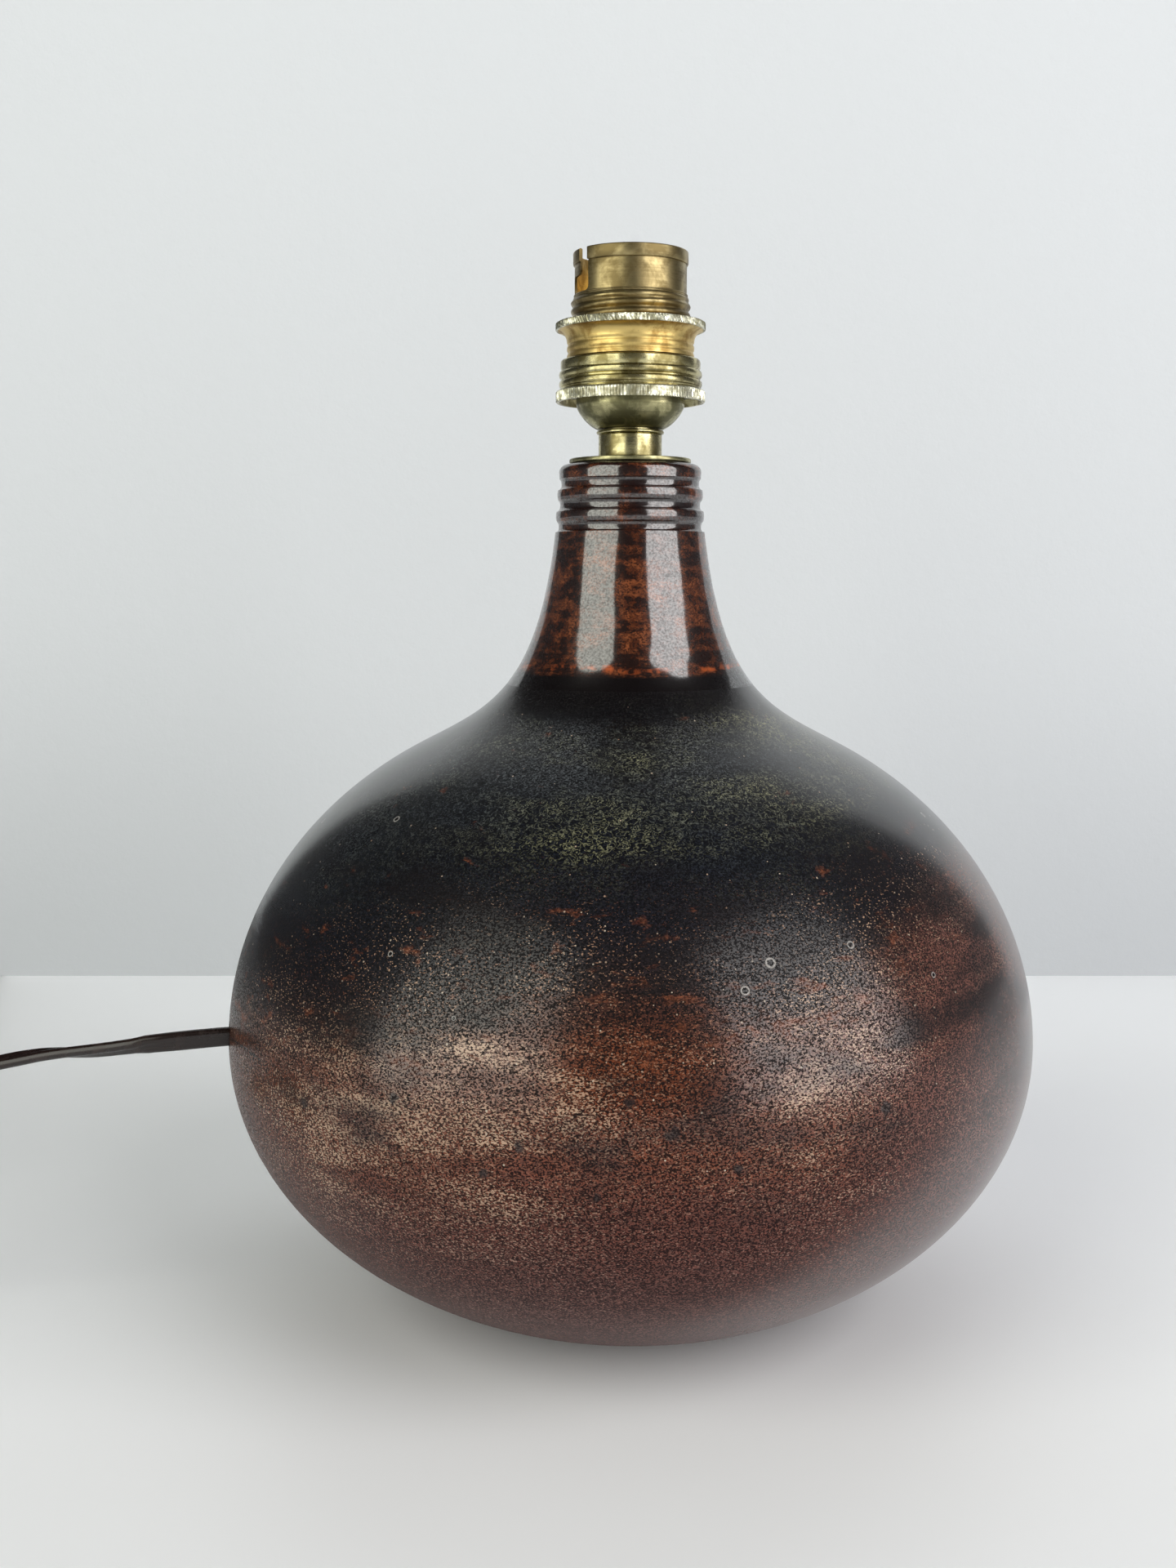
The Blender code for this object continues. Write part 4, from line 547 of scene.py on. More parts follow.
def makeBodyGlaze():
    g = glazeSet
    material, tree, shader, place = newMaterial("ironGlaze")
    height, level = wavedLevel(tree, place)

    # two colours at each height, the dark of the glaze and the grain that stands in it
    dark = ladder(tree, level, [
        (at(0), paint(70, 48, 46)), (at(14), paint(56, 33, 32)), (at(34), paint(36, 17, 17)),
        (at(52), paint(30, 12, 10)), (at(66), paint(28, 11, 6)), (at(84), paint(20, 9, 6)),
        (at(94), paint(10, 6, 7)), (at(102), paint(7, 6, 10)), (at(116), paint(5, 6, 10)),
        (at(138), paint(6, 6, 8)), (at(143), paint(5, 4, 6)), (at(150), paint(7, 4, 5)),
    ])
    pale = ladder(tree, level, [
        (at(0), paint(128, 100, 95)), (at(14), paint(118, 85, 80)), (at(34), paint(101, 59, 51)),
        (at(52), paint(102, 52, 38)), (at(66), paint(108, 51, 25)), (at(84), paint(98, 48, 25)),
        (at(94), paint(40, 26, 26)), (at(103), paint(22, 20, 28)), (at(116), paint(22, 25, 33)),
        (at(136), paint(28, 30, 34)), (at(141), paint(14, 12, 16)), (at(150), paint(12, 7, 7)),
    ])
    across = addNode(tree, "ShaderNodeSeparateXYZ", {0: place}).outputs[0]
    flank = stretch(tree, across, 38 * mm, 68 * mm, 0.0, 1.0, smooth=True)
    mauve = sums(tree, "MULTIPLY", flank, stretch(tree, level, at(98), at(86), 0.0, 0.6))
    pale = blend(tree, mauve, pale, paint(122, 86, 80))
    dark = blend(tree, mauve, dark, paint(34, 22, 22))
    fine = stipple(tree, place, 2250.0, 0.46, 0.04)
    broad = stipple(tree, mapped(tree, place, (1, 1, 1.2), (3, 1, 2)), 900.0, 0.5, 0.1)
    grains = sums(tree, "MULTIPLY", fine["Mask"], sums(tree, "MULTIPLY_ADD", broad["Mask"], 0.5, 0.5))
    body = blend(tree, grains, dark, pale)

    # cream grains crowd below the dark band, in drifts round the pot, painted denser and paler away from the
    # front middle: a painted highlight of the windows on the grains
    creamZone = steps(tree, level, [
        (at(10), 0.0), (at(30), 0.08), (at(50), 0.2), (at(62), 0.34), (at(83), 0.42), (at(92), 0.22),
        (at(100), 0.08), (at(108), 0.02), (at(116), 0.0),
    ])
    drift = patches(tree, place, (1, 1, 3), (0, 0, 0), 40.0, 5.0, 0.68, 0.36, 0.66)
    creamGlintShare = sums(tree, "MULTIPLY", creamZone, sums(tree, "MULTIPLY_ADD", drift, 0.95, 0.3))
    # painted highlight: more and paler grains towards the sides, where the windows' reflections fall
    paintedHighlight = apart(tree, across, 8 * mm)
    paintedHighlight = stretch(tree, paintedHighlight, 6 * mm, 28 * mm, 0.45, 1.15, smooth=True)
    creamGlintShare = sums(tree, "MULTIPLY", creamGlintShare, paintedHighlight)
    creamGlintShare = sums(tree, "MULTIPLY", creamGlintShare, stretch(tree, across, 34 * mm, 56 * mm, 1.0, 0.15))
    creamGlintShare = sums(tree, "MULTIPLY", creamGlintShare, stretch(tree, across, -86 * mm, -58 * mm, 0.1, 1.0))
    creamGlint = stipple(tree, mapped(tree, place, (1, 1, 1.3), (5, 7, 3)), 1800.0, creamGlintShare, 0.03)
    # painted highlight: the grains' tone turns from brown to pale cream towards the sides
    creamGlintTone = blend(tree, sums(tree, "MULTIPLY", drift, paintedHighlight), paint(114, 66, 44), paint(176, 146, 122))
    creamGlintTone = blend(tree, stretch(tree, level, at(62), at(40), 0.0, 0.75), creamGlintTone, paint(136, 100, 92))
    body = blend(tree, sums(tree, "MULTIPLY", creamGlint["Mask"], 0.9), body, creamGlintTone)
    dots = useGroup(tree, speckGroup, {
        "Place": mapped(tree, place, shift=(1, 2, 9)), "Scale": 900.0, "Size": 0.2,
        "Share": steps(tree, level, [
            (at(54), 0.0), (at(66), 0.06), (at(84), 0.24), (at(94), 0.3), (at(106), 0.12), (at(114), 0.04),
            (at(134), 0.03), (at(150), 0.02),
        ]),
    })
    dotTone = blend(tree, dots["Tone"], paint(140, 108, 88), paint(184, 170, 152))
    body = blend(tree, sums(tree, "MULTIPLY", dots["Mask"], 0.85), body, dotTone)

    # olive worms curl over the shoulder
    curl = grain(tree, mapped(tree, place, (1, 1, 1.2)), 820.0, 1.0, 0.5, 1.2)
    curl = apart(tree, curl, 0.5)
    grainy = sums(tree, "MULTIPLY_ADD", fine["Mask"], 0.6, 0.4)
    worms = sums(tree, "MULTIPLY", stretch(tree, curl, 0.02, 0.055, 1.0, 0.0), grainy)
    oliveZone = steps(tree, level, [
        (at(98), 0.0), (at(108), 0.04), (at(116), 0.2), (at(123), 0.8), (at(135), 1.0), (at(139), 0.6),
        (at(142), 0.15), (at(146), 0.0),
    ])
    cloud = patches(tree, place, (1, 1, 3.4), (0.4, 0.1, 0), 26.0, 4.0, 0.65, 0.38, 0.64)
    cloud = sums(tree, "MULTIPLY", cloud, stretch(tree, across, -46 * mm, -8 * mm, 0.25, 1.0, smooth=True))
    oliveTone = blend(tree, cloud, paint(84, 90, 94), paint(160, 158, 120))
    worms = sums(tree, "MULTIPLY", worms, oliveZone)
    worms = sums(tree, "MULTIPLY", worms, sums(tree, "MULTIPLY_ADD", cloud, 0.5, 0.5))
    body = blend(tree, worms, body, oliveTone)

    # rust where the iron broke through, in short granular smears round the pot
    smear = grain(tree, mapped(tree, place, (1, 1, 2.4), (2, 0, 1)), 130.0, 4.0, 0.66, 0.3)
    rustZone = steps(tree, level, [
        (at(62), 0.0), (at(76), 0.5), (at(88), 0.9), (at(93), 0.75), (at(99), 0.35), (at(104), 0.4),
        (at(107), 0.5), (at(111), 0.2), (at(124), 0.1), (at(146), 0.0),
    ])
    rust = stretch(tree, sums(tree, "MULTIPLY_ADD", rustZone, 0.17, smear), 0.67, 0.78)
    rust = sums(tree, "MULTIPLY", rust, grainy)
    rust = sums(tree, "MULTIPLY", rust, sums(tree, "MULTIPLY_ADD", flank, -0.7, 1.0))
    rustTone = blend(tree, broad["Mask"], paint(74, 35, 21), paint(118, 66, 41))
    body = blend(tree, sums(tree, "MULTIPLY", rust, stretch(tree, height, at(58), at(70))), body, rustTone)
    shade = patches(tree, place, (1, 1, 2.6), (7, 3, 5), 30.0, 4.0, 0.62, 0.48, 0.64)
    shadeZone = steps(tree, height, [
        (at(48), 0.1), (at(64), 0.6), (at(92), 0.9), (at(112), 0.6), (at(124), 0.25), (at(140), 0.2),
    ])
    body = blend(tree, sums(tree, "MULTIPLY", shade, shadeZone), body, paint(17, 13, 15))

    # iron spots, and craters where gas broke the glaze
    wobble = sums(tree, "MULTIPLY_ADD", grain(tree, place, 620.0, 3.0, 0.6), 2.6, -1.3)
    iron = sums(tree, "ADD", nearestSpot(tree, place, g["ironSpots"]), wobble)
    body = blend(tree, stretch(tree, iron, 0.45, 1.25, 0.85, 0.0, smooth=True), body, paint(26, 18, 18))
    crater = nearestSpot(tree, place, g["craters"])
    crater = sums(tree, "MULTIPLY_ADD", sums(tree, "SUBTRACT", fine["Height"], 0.5), 0.5, crater)
    ring = stretch(tree, apart(tree, crater, 0.84), 0.06, 0.28, 1.0, 0.0, smooth=True)
    pit = stretch(tree, crater, 0.5, 0.72, 1.0, 0.0, smooth=True)
    body = blend(tree, sums(tree, "MULTIPLY", ring, 0.85), body, paint(150, 146, 142))
    body = blend(tree, pit, body, paint(8, 6, 7))
    ragged = sums(tree, "SUBTRACT", broad["Height"], 0.5)
    # a thin dark line that runs from the cord hole round the ball
    holeLine = sums(tree, "MULTIPLY_ADD", ragged, 1.2 * mm, nearestLine(tree, place, g["holeLine"]))
    holeLine = stretch(tree, holeLine, 0.12 * mm, 0.38 * mm, 1.0, 0.0, smooth=True)
    body = blend(tree, holeLine, body, paint(12, 8, 8))
    scar = sums(tree, "MULTIPLY_ADD", ragged, 2.4 * mm, nearestLine(tree, place, g["scar"]))
    scar = stretch(tree, scar, 0.3 * mm, 1.0 * mm, 0.8, 0.0, smooth=True)
    body = blend(tree, scar, body, paint(52, 36, 34))
    tree.links.new(body, shader.inputs["Base Color"])

    # the grains are glassy and the glaze between them is dull
    glassy = sums(tree, "MAXIMUM", fine["Mask"], sums(tree, "MAXIMUM", creamGlint["Mask"], dots["Mask"]))
    weight = sums(tree, "MULTIPLY_ADD", glassy, 0.95, 0.03)
    weight = sums(tree, "MULTIPLY", weight, steps(tree, level, [
        (at(0), 0.3), (at(36), 0.35), (at(60), 0.6), (at(84), 0.95), (at(96), 0.65), (at(106), 0.32),
        (at(122), 0.35), (at(140), 0.6), (at(150), 0.75),
    ]))
    # seen along the surface, most of it shines
    rim = addNode(tree, "ShaderNodeLayerWeight", {"Blend": 0.5}).outputs["Facing"]
    shine = sums(
        tree, "MAXIMUM", stretch(tree, level, at(102), at(114)),
        stretch(tree, across, -20 * mm, 50 * mm, 0.1, 1.0, smooth=True),
    )
    rim = sums(tree, "ADD", rim, stretch(tree, across, 0, 50 * mm, 0.0, 0.18, smooth=True))
    rim = sums(tree, "ADD", rim, stretch(tree, across, -30 * mm, -60 * mm, 0.0, 0.14, smooth=True))
    shine = sums(tree, "MULTIPLY", shine, stretch(tree, rim, 0.45, 0.78, 0.0, 1.0, smooth=True))
    weight = sums(tree, "MAXIMUM", weight, shine)
    tree.links.new(weight, shader.inputs["Coat Weight"])
    setInputs(shader, g["ballShine"])
    tree.links.new(sums(tree, "MULTIPLY_ADD", fine["Height"], 0.3, 0.4), shader.inputs["Roughness"])

    thrown = grain(tree, mapped(tree, place, (1, 1, 60)), 5.0, 2.0, 0.5)
    relief = fine["Height"]
    for mask, height in (
        (fine["Mask"], 0.7), (creamGlint["Mask"], 0.8), (thrown, 2.2), (ring, 2.5), (pit, -6.0),
        (sums(tree, "ADD", holeLine, scar), -4.0),
    ):
        relief = sums(tree, "MULTIPLY_ADD", mask, height, relief)
    addBump(tree, shader, relief, 0.5, 0.016)
    return material

def makeNeckGlaze():
    v = vesselSet
    material, tree, shader, place = newMaterial("rustGlaze")
    height, level = wavedLevel(tree, place)
    up = addNode(tree, "ShaderNodeSeparateXYZ", {0: place}).outputs[2]

    # rust with a granular near-black mottle that runs round the neck
    fine = stipple(tree, place, 1500.0, 0.5, 0.06)
    runs = grain(tree, mapped(tree, place, (1, 1, 1.25), (4, 4, 4)), 190.0, 6.0, 0.74, 0.2)
    lines = grain(tree, mapped(tree, place, (1, 1, 9)), 70.0, 3.0, 0.6)
    black = sums(tree, "MULTIPLY_ADD", lines, 0.28, sums(tree, "MULTIPLY", runs, 0.72))
    black = sums(tree, "MULTIPLY_ADD", fine["Height"], 0.35, black)
    foot = steps(tree, level, [
        (at(148), 0.09), (at(149.5), 0.06), (at(150.2), -0.05), (at(151.4), 0.05), (at(153), 0.07),
        (at(156), 0.02), (at(164), 0.0), (at(176), 0.015), (at(182), 0.05), (at(196), 0.05),
    ])
    black = stretch(tree, sums(tree, "ADD", black, foot), 0.645, 0.725)
    rust = blend(tree, fine["Mask"], paint(58, 27, 14), paint(120, 66, 38))
    rust = blend(tree, sums(tree, "MULTIPLY", stretch(tree, runs, 0.42, 0.6), 0.7), rust, paint(84, 40, 22))
    body = blend(tree, sums(tree, "MULTIPLY", black, 0.95), rust, paint(19, 10, 10))

    # black in the grooves, where the rolls stand bare
    base = sums(tree, "SUBTRACT", up, v["neckBottom"] * mm)
    turnCount = sums(tree, "FRACT", sums(tree, "DIVIDE", base, v["pitch"] * mm))
    share = v["groove"] / v["pitch"]
    inGroove = sums(
        tree, "MULTIPLY", stretch(tree, turnCount, share * 0.78, share * 1.06, 1.0, 0.0),
        stretch(tree, turnCount, 0.0, 0.05),
    )
    inGroove = sums(tree, "MULTIPLY", inGroove, sums(tree, "GREATER_THAN", base, 0.0))
    inGroove = sums(tree, "MULTIPLY", inGroove, sums(tree, "MULTIPLY_ADD", fine["Mask"], -0.2, 0.75))
    body = blend(tree, inGroove, body, paint(20, 10, 11))

    # a broken orange line round the foot of the neck
    drop = sums(tree, "SUBTRACT", level, height)
    lineAt = sums(tree, "MULTIPLY_ADD", drop, v["height"] * 0.35 * mm, up)
    lineNear = apart(tree, lineAt, 150.5 * mm)
    broken = patches(tree, place, (1, 1, 0.3), (1, 1, 1), 190.0, 4.0, 0.7, 0.45, 0.6)
    orange = stretch(tree, lineNear, 0.15 * mm, 0.8 * mm, 1.0, 0.0, smooth=True)
    orange = sums(tree, "MULTIPLY", orange, broken)
    body = blend(tree, sums(tree, "MULTIPLY", orange, 0.8), body, paint(176, 84, 40))
    under = stretch(tree, up, 149.6 * mm, 148.7 * mm)
    body = blend(tree, under, body, paint(12, 8, 9))
    tree.links.new(body, shader.inputs["Base Color"])

    # fine crystals break up the shine
    crystals = stipple(tree, mapped(tree, place, (1, 1, 0.8), (9, 2, 6)), 2000.0, 0.6, 0.16)
    tree.links.new(sums(tree, "MULTIPLY_ADD", crystals["Height"], 0.2, 0.22), shader.inputs["Roughness"])
    tree.links.new(sums(tree, "MULTIPLY_ADD", crystals["Mask"], 0.55, 0.45), shader.inputs["Coat Weight"])
    setInputs(shader, glazeSet["neckShine"])
    ripple = grain(tree, mapped(tree, place, (1, 1, 1.5)), 160.0, 2.0, 0.5)
    relief = sums(tree, "MULTIPLY_ADD", ripple, 1.2, sums(tree, "MULTIPLY", crystals["Height"], 0.8))
    addBump(tree, shader, relief, 0.4, 0.03)
    return material

glaze = makeBodyGlaze()
neckGlaze = makeNeckGlaze()

# clean and worn colour, cloud scale, worn share, gloss, dull, turning lines, metal
finishSet = {
    "agedBrass": ((180, 174, 132), (106, 103, 74), 190.0, 0.55, 0.22, 0.38, 1.2, 1.0),
    "tubeBrass": ((166, 150, 108), (108, 94, 62), 150.0, 0.52, 0.26, 0.38, 1.8, 1.0),
    "goldBrass": ((208, 182, 116), (156, 126, 70), 240.0, 0.45, 0.32, 0.46, 0.8, 1.0),
    "paleBrass": ((196, 187, 142), (116, 106, 68), 200.0, 0.5, 0.15, 0.3, 1.0, 1.0),
    "silverBrass": ((226, 225, 206), (146, 142, 116), 420.0, 0.52, 0.24, 0.42, 0.4, 1.0),
    "zincSteel": ((176, 178, 180), (120, 120, 118), 260.0, 0.45, 0.30, 0.48, 0.8, 1.0),
    "coreCopper": ((214, 140, 100), (150, 88, 60), 500.0, 0.4, 0.28, 0.42, 0.4, 1.0),
    "bushRubber": ((44, 41, 38), (62, 58, 54), 320.0, 0.45, 0.55, 0.75, 0.3, 0.0),
    "porcelain": ((232, 229, 220), (206, 198, 180), 260.0, 0.32, 0.12, 0.30, 0.2, 0.0),
    "flexSheath": ((30, 20, 18), (46, 34, 30), 300.0, 0.36, 0.22, 0.36, 0.3, 0.0),
    "brownPlastic": ((42, 26, 20), (52, 34, 27), 220.0, 0.38, 0.26, 0.36, 0.3, 0.0),
}
(
    agedBrass, tubeBrass, goldBrass, paleBrass, silverBrass, zincSteel, coreCopper, bushRubber,
    porcelain, flexSheath, brownPlastic,
) = [wornMaterial(name, *values) for name, values in finishSet.items()]
print("materials made")

# flex

flexSet = {
    "width": 4.6, "lobe": 1.2, "lobeOut": 1.1, "waist": 0.85, "mouth": 92.15, "potSide": -93.7,
    "seat": 0.3, "switchLength": 58.0, "switchMiddle": 7.0,
    "coilCentre": (-319.5, 13.0), "coilInner": 19.0, "coilTurns": 3.75, "coilStep": 5.1,
    "coilLead": 36.0, "coilLayer": 3.1, "stepsPerTurn": 48, "tail": 40.0, "plugMiddle": 6.85,
    "route": [                  # metres, from the hole to the switch
        (-0.1080, -0.0268, 0.0660), (-0.1210, -0.0262, 0.0642), (-0.1370, -0.0243, 0.0622),
        (-0.1530, -0.0238, 0.0578), (-0.1680, -0.0240, 0.0480), (-0.1800, -0.0244, 0.0330),
        (-0.1910, -0.0250, 0.0178), (-0.2010, -0.0254, 0.0082), (-0.2105, -0.0253, 0.0062),
    ],
}

def smoothLine(route, step):
    knots = [Vector(point) for point in route]
    fine = []
    for before, start, end, after in zip(knots, knots[1:], knots[2:], knots[3:]):
        for index in range(24):
            t = index / 24
            fine.append(0.5 * (
                2 * start + (end - before) * t
                + (2 * before - 5 * start + 4 * end - after) * t * t
                + (3 * start - before - 3 * end + after) * t ** 3
            ))
    fine.append(knots[-2])
    return evenly([knots[0]] + fine + [knots[-1]], step)

def evenly(points, step):
    total = sum((b - a).length for a, b in zip(points, points[1:]))
    count = max(2, round(total / step))
    made = [points[0]]
    walked = 0.0
    for a, b in zip(points, points[1:]):
        length = (b - a).length
        while len(made) < count and walked + length >= len(made) * total / count:
            made.append(a.lerp(b, (len(made) * total / count - walked) / length))
        walked += length
    return made + [points[-1]]

# the whole way of the flex, and the turn of its flat side along it
def flexLines():
    f = flexSet
    turn = math.radians(vesselSet["holeTurn"])
    outward = Vector((math.cos(turn), math.sin(turn), 0))
    start = outward * f["mouth"] * mm + Vector((0, 0, vesselSet["holeHeight"] * mm))
    outer = f["coilInner"] + f["coilTurns"] * f["coilStep"]
    front = (f["coilCentre"][1] - outer) * mm
    nearMouth = Vector((
        (f["coilCentre"][0] + f["coilLead"] + f["switchLength"] + 3 * f["seat"]) * mm,
        front, f["switchMiddle"] * mm,
    ))
    straight = Vector((f["width"] * mm, 0, 0))
    run = smoothLine(
        [start, start + outward * f["width"] * mm, *f["route"], nearMouth + straight, nearMouth],
        1.5 * mm,
    )
    middle = nearMouth - Vector((f["switchLength"] / 2 * mm, 0, 2.6 * mm))
    farMouth = nearMouth - Vector(((f["switchLength"] + 3 * f["seat"]) * mm, 0, 0))
    through = smoothLine([
        nearMouth + straight, nearMouth, nearMouth - straight * 2, middle,
        farMouth + straight * 2, farMouth, farMouth - straight,
    ], 2 * mm)
    through = [point for point in through if farMouth.x < point.x < nearMouth.x]
    coil = coilLine(f, front)
    tailStart = coil[-1]
    tailEnd = Vector((tailStart.x + (f["seat"] + f["tail"]) * mm, tailStart.y, f["plugMiddle"] * mm))
    tail = smoothLine([tailStart, tailStart + straight, tailEnd - straight, tailEnd], 2 * mm)[1:]
    line = run + through + coil + tail
    # the flat side stands up at the hole and in the coil, and lies down elsewhere
    twists = [twistAlongRun(f["potSide"] - point.x / mm) for point in run] + [0.0] * len(through)
    centre = f["coilCentre"][0] * mm
    lead = f["coilLead"] * mm
    inRounds = False
    for point in coil:
        inRounds = inRounds or point.x < centre
        share = 1.0 if inRounds else eased((centre + lead - point.x) / (lead * 0.8))
        twists.append(90 * share)
    twists += [90 * (1 - eased((index + 1) / len(tail))) for index in range(len(tail))]
    return line, twists

# how the flat side turns, by the distance past the pot in millimetres
def twistAlongRun(beyond):
    stops = [(-10, 78), (8, 80), (16, 66), (19, 44), (24, 38), (48, -14), (90, -8), (118, 0), (140, 0)]
    for (low, first), (high, second) in zip(stops, stops[1:]):
        if beyond <= high:
            return first + (second - first) * eased((beyond - low) / (high - low))
    return 0.0

def coilLine(f, front):
    centre = Vector((f["coilCentre"][0] * mm, f["coilCentre"][1] * mm, 0))
    half = math.tau * f["coilTurns"]
    points = []
    leadSteps = 18
    for step in range(leadSteps):
        share = step / leadSteps
        ease = eased((share - 0.2) / 0.6)
        level = f["switchMiddle"] + (f["coilLayer"] - f["switchMiddle"]) * ease
        points.append(Vector((centre.x + f["coilLead"] * mm * (1 - share), front, level * mm)))
    count = round(2 * f["coilTurns"] * f["stepsPerTurn"])
    for step in range(count + 1):
        wound = math.tau * step / f["stepsPerTurn"]
        radius = f["coilInner"] + abs(half - wound) * f["coilStep"] / math.tau
        level = f["coilLayer"] + f["coilStep"] * eased((wound - half) / math.pi + 0.5)
        angle = -math.pi / 2 - wound
        spoke = Vector((math.cos(angle), math.sin(angle), 0)) * radius * mm
        points.append(centre + spoke + Vector((0, 0, level * mm)))
    points.append(points[-1] + Vector((f["width"] * mm, 0, 0)))
    return points

def makeFlex():
    f = flexSet
    line, twists = flexLines()
    outline = []
    for side, first in ((1, -105), (-1, 75)):
        for x, y in arc(f["lobe"], f["lobe"], (side * f["lobeOut"], 0), first, first + 210, 9):
            outline.append((x, y))
        outline.append((0, side * f["waist"]))
    profile = bpy.data.curves.new("flexProfile", "CURVE")
    profile.dimensions = "2D"
    ring = profile.splines.new("POLY")
    ring.points.add(len(outline) - 1)
    for place, (x, y) in zip(ring.points, outline):
        place.co = (x * mm, y * mm, 0, 1)
    ring.use_cyclic_u = True
    profileObject = bpy.data.objects.new("flexProfile", profile)
    scene.collection.objects.link(profileObject)
    curve = bpy.data.curves.new("flatFlex", "CURVE")
    curve.dimensions = "3D"
    curve.twist_mode = "Z_UP"
    curve.bevel_mode = "OBJECT"
    curve.bevel_object = profileObject
    curve.use_fill_caps = True
    spline = curve.splines.new("POLY")
    spline.points.add(len(line) - 1)
    for place, point, twist in zip(spline.points, line, twists):
        place.co = (*point, 1.0)
        place.tilt = math.radians(twist)
    holder = bpy.data.objects.new("flatFlex", curve)
    scene.collection.objects.link(holder)
    flex = settle(holder)
    bpy.data.objects.remove(profileObject, do_unlink=True)
    shape = bmesh.new()
    shape.from_mesh(flex.data)
    bmesh.ops.remove_doubles(shape, verts=shape.verts, dist=1e-6)
    bmesh.ops.recalc_face_normals(shape, faces=shape.faces)
    shape.to_mesh(flex.data)
    shape.free()
    flex.data.materials.clear()
    flex.data.materials.append(flexSheath)
    flex.data.shade_smooth()
    length = sum((b - a).length for a, b in zip(line, line[1:]))
    print("flex", round(length, 3), "m,", len(flex.data.polygons), "faces")
    return flex, line, length

flex, flexLine, flexLength = makeFlex()
ride(flex, "lamp", ("cord_run", "cord_coil", "cord_tail"))

# vessel

# hollow grooves and round rolls, from the foot of the neck up
def neckOutline():
    v = vesselSet
    points = []
    for index in range(v["rolls"]):
        low = v["neckBottom"] + index * v["pitch"]
        radius = v["neck"] - v["taper"] * (index + 1) / v["rolls"]
        for step in range(13):
            t = step / 12
            dip = v["grooveDepth"] * (1 - abs(2 * t - 1) ** 3.2)
            points.append((radius - 0.1 - dip, low + v["groove"] * t))
        if index < v["rolls"] - 1:
            rise = v["pitch"] - v["groove"]
            for step in range(1, 12):
                t = step / 12
                swell = 0.24 * (1 - abs(2 * t - 1) ** 2.4)
                points.append((radius - 0.1 + swell, low + v["groove"] + rise * t))
    return points

def makeVessel():
    v = vesselSet
    outer = vesselSide(0, v["footBevel"], 56, 40)
    inner = vesselSide(v["wall"], v["base"], 14, 10)
    lipRadius = v["neck"] - v["taper"]
    lip = arc(
        v["lipRound"], v["lipRound"], (lipRadius - v["lipRound"], v["height"] - v["lipRound"]),
        0, 90, 10,
    )
    bore = v["neck"] - v["wall"]
    ringInner = v["foot"] - v["footRing"]
    outline = [(0, v["recess"]), (ringInner, v["recess"]), (ringInner, 0), (v["foot"] - 0.4, 0)]
    outline += [(v["foot"], 0.25)] + outer + neckOutline() + lip
    outline += [(bore + 0.5, v["height"]), (bore, v["height"] - 0.5)]
    outline += inner[::-1] + [(0, v["base"])]


    # throwing rings and the lie of the glaze, never outside the plain shape
    def throw(place):
        radius = math.hypot(place.x, place.y) / mm
        level = place.z / mm
        if level < 2 or radius < lipRadius - 1.2:
            return
        share = min(1.0, max(0.0, (level - 120) / 26))
        rings = noise.noise(Vector((place.x * 4, place.y * 4, level * 0.45)))
        runs = noise.noise(Vector((place.x, place.y, place.z * 0.8)) * (110 + 160 * share))
        fine = noise.noise(place * 520)
        deep = v["uneven"] + (v["neckUneven"] - v["uneven"]) * share
        dent = deep * (0.5 + 0.25 * rings + 0.5 * runs * share + 0.25 * fine)
        shrink = 1 - max(0.0, dent) / radius
        place.x *= shrink
        place.y *= shrink

    vessel = lathe("stonewareVessel", outline, glaze, v["turns"], throw, closed=False)
    turn = math.radians(v["holeTurn"])
    outward = Vector((math.cos(turn), math.sin(turn), 0))
    up = Vector((0, 0, v["holeHeight"] * mm))
    hole = rod("flexHole", v["holeRadius"], outward * 0.085 + up, outward * 0.1 + up, glaze)
    carve(vessel, [hole])
    vessel.data.materials.append(neckGlaze)
    for face in vessel.data.polygons:
        face.material_index = int(face.center.z > glazeSet["split"] * mm)
    return vessel

vessel = makeVessel()
ride(vessel, "lamp", ("stoneware_body",))
print("vessel", len(vessel.data.polygons), "faces")

# brass lampholder

holderSet = {
    "top": 244.2, "bottom": 218.0, "bore": 11.5, "wall": 12.85, "hem": 2.8, "hemStep": 0.35,
    "threadTop": 234.0, "root": 13.2, "crest": 13.75, "pitch": 2.0, "slotWidth": 3.1, "sheet": 12.3,
    "slotDepth": 9.4, "slotLeg": 3.7, "slotReach": 5.2, "slotRound": 1.2, "slotTurn": 213.7,
    "turns": 160,
}
knurlSet = {"teeth": 150, "depth": 0.2, "sides": 4}

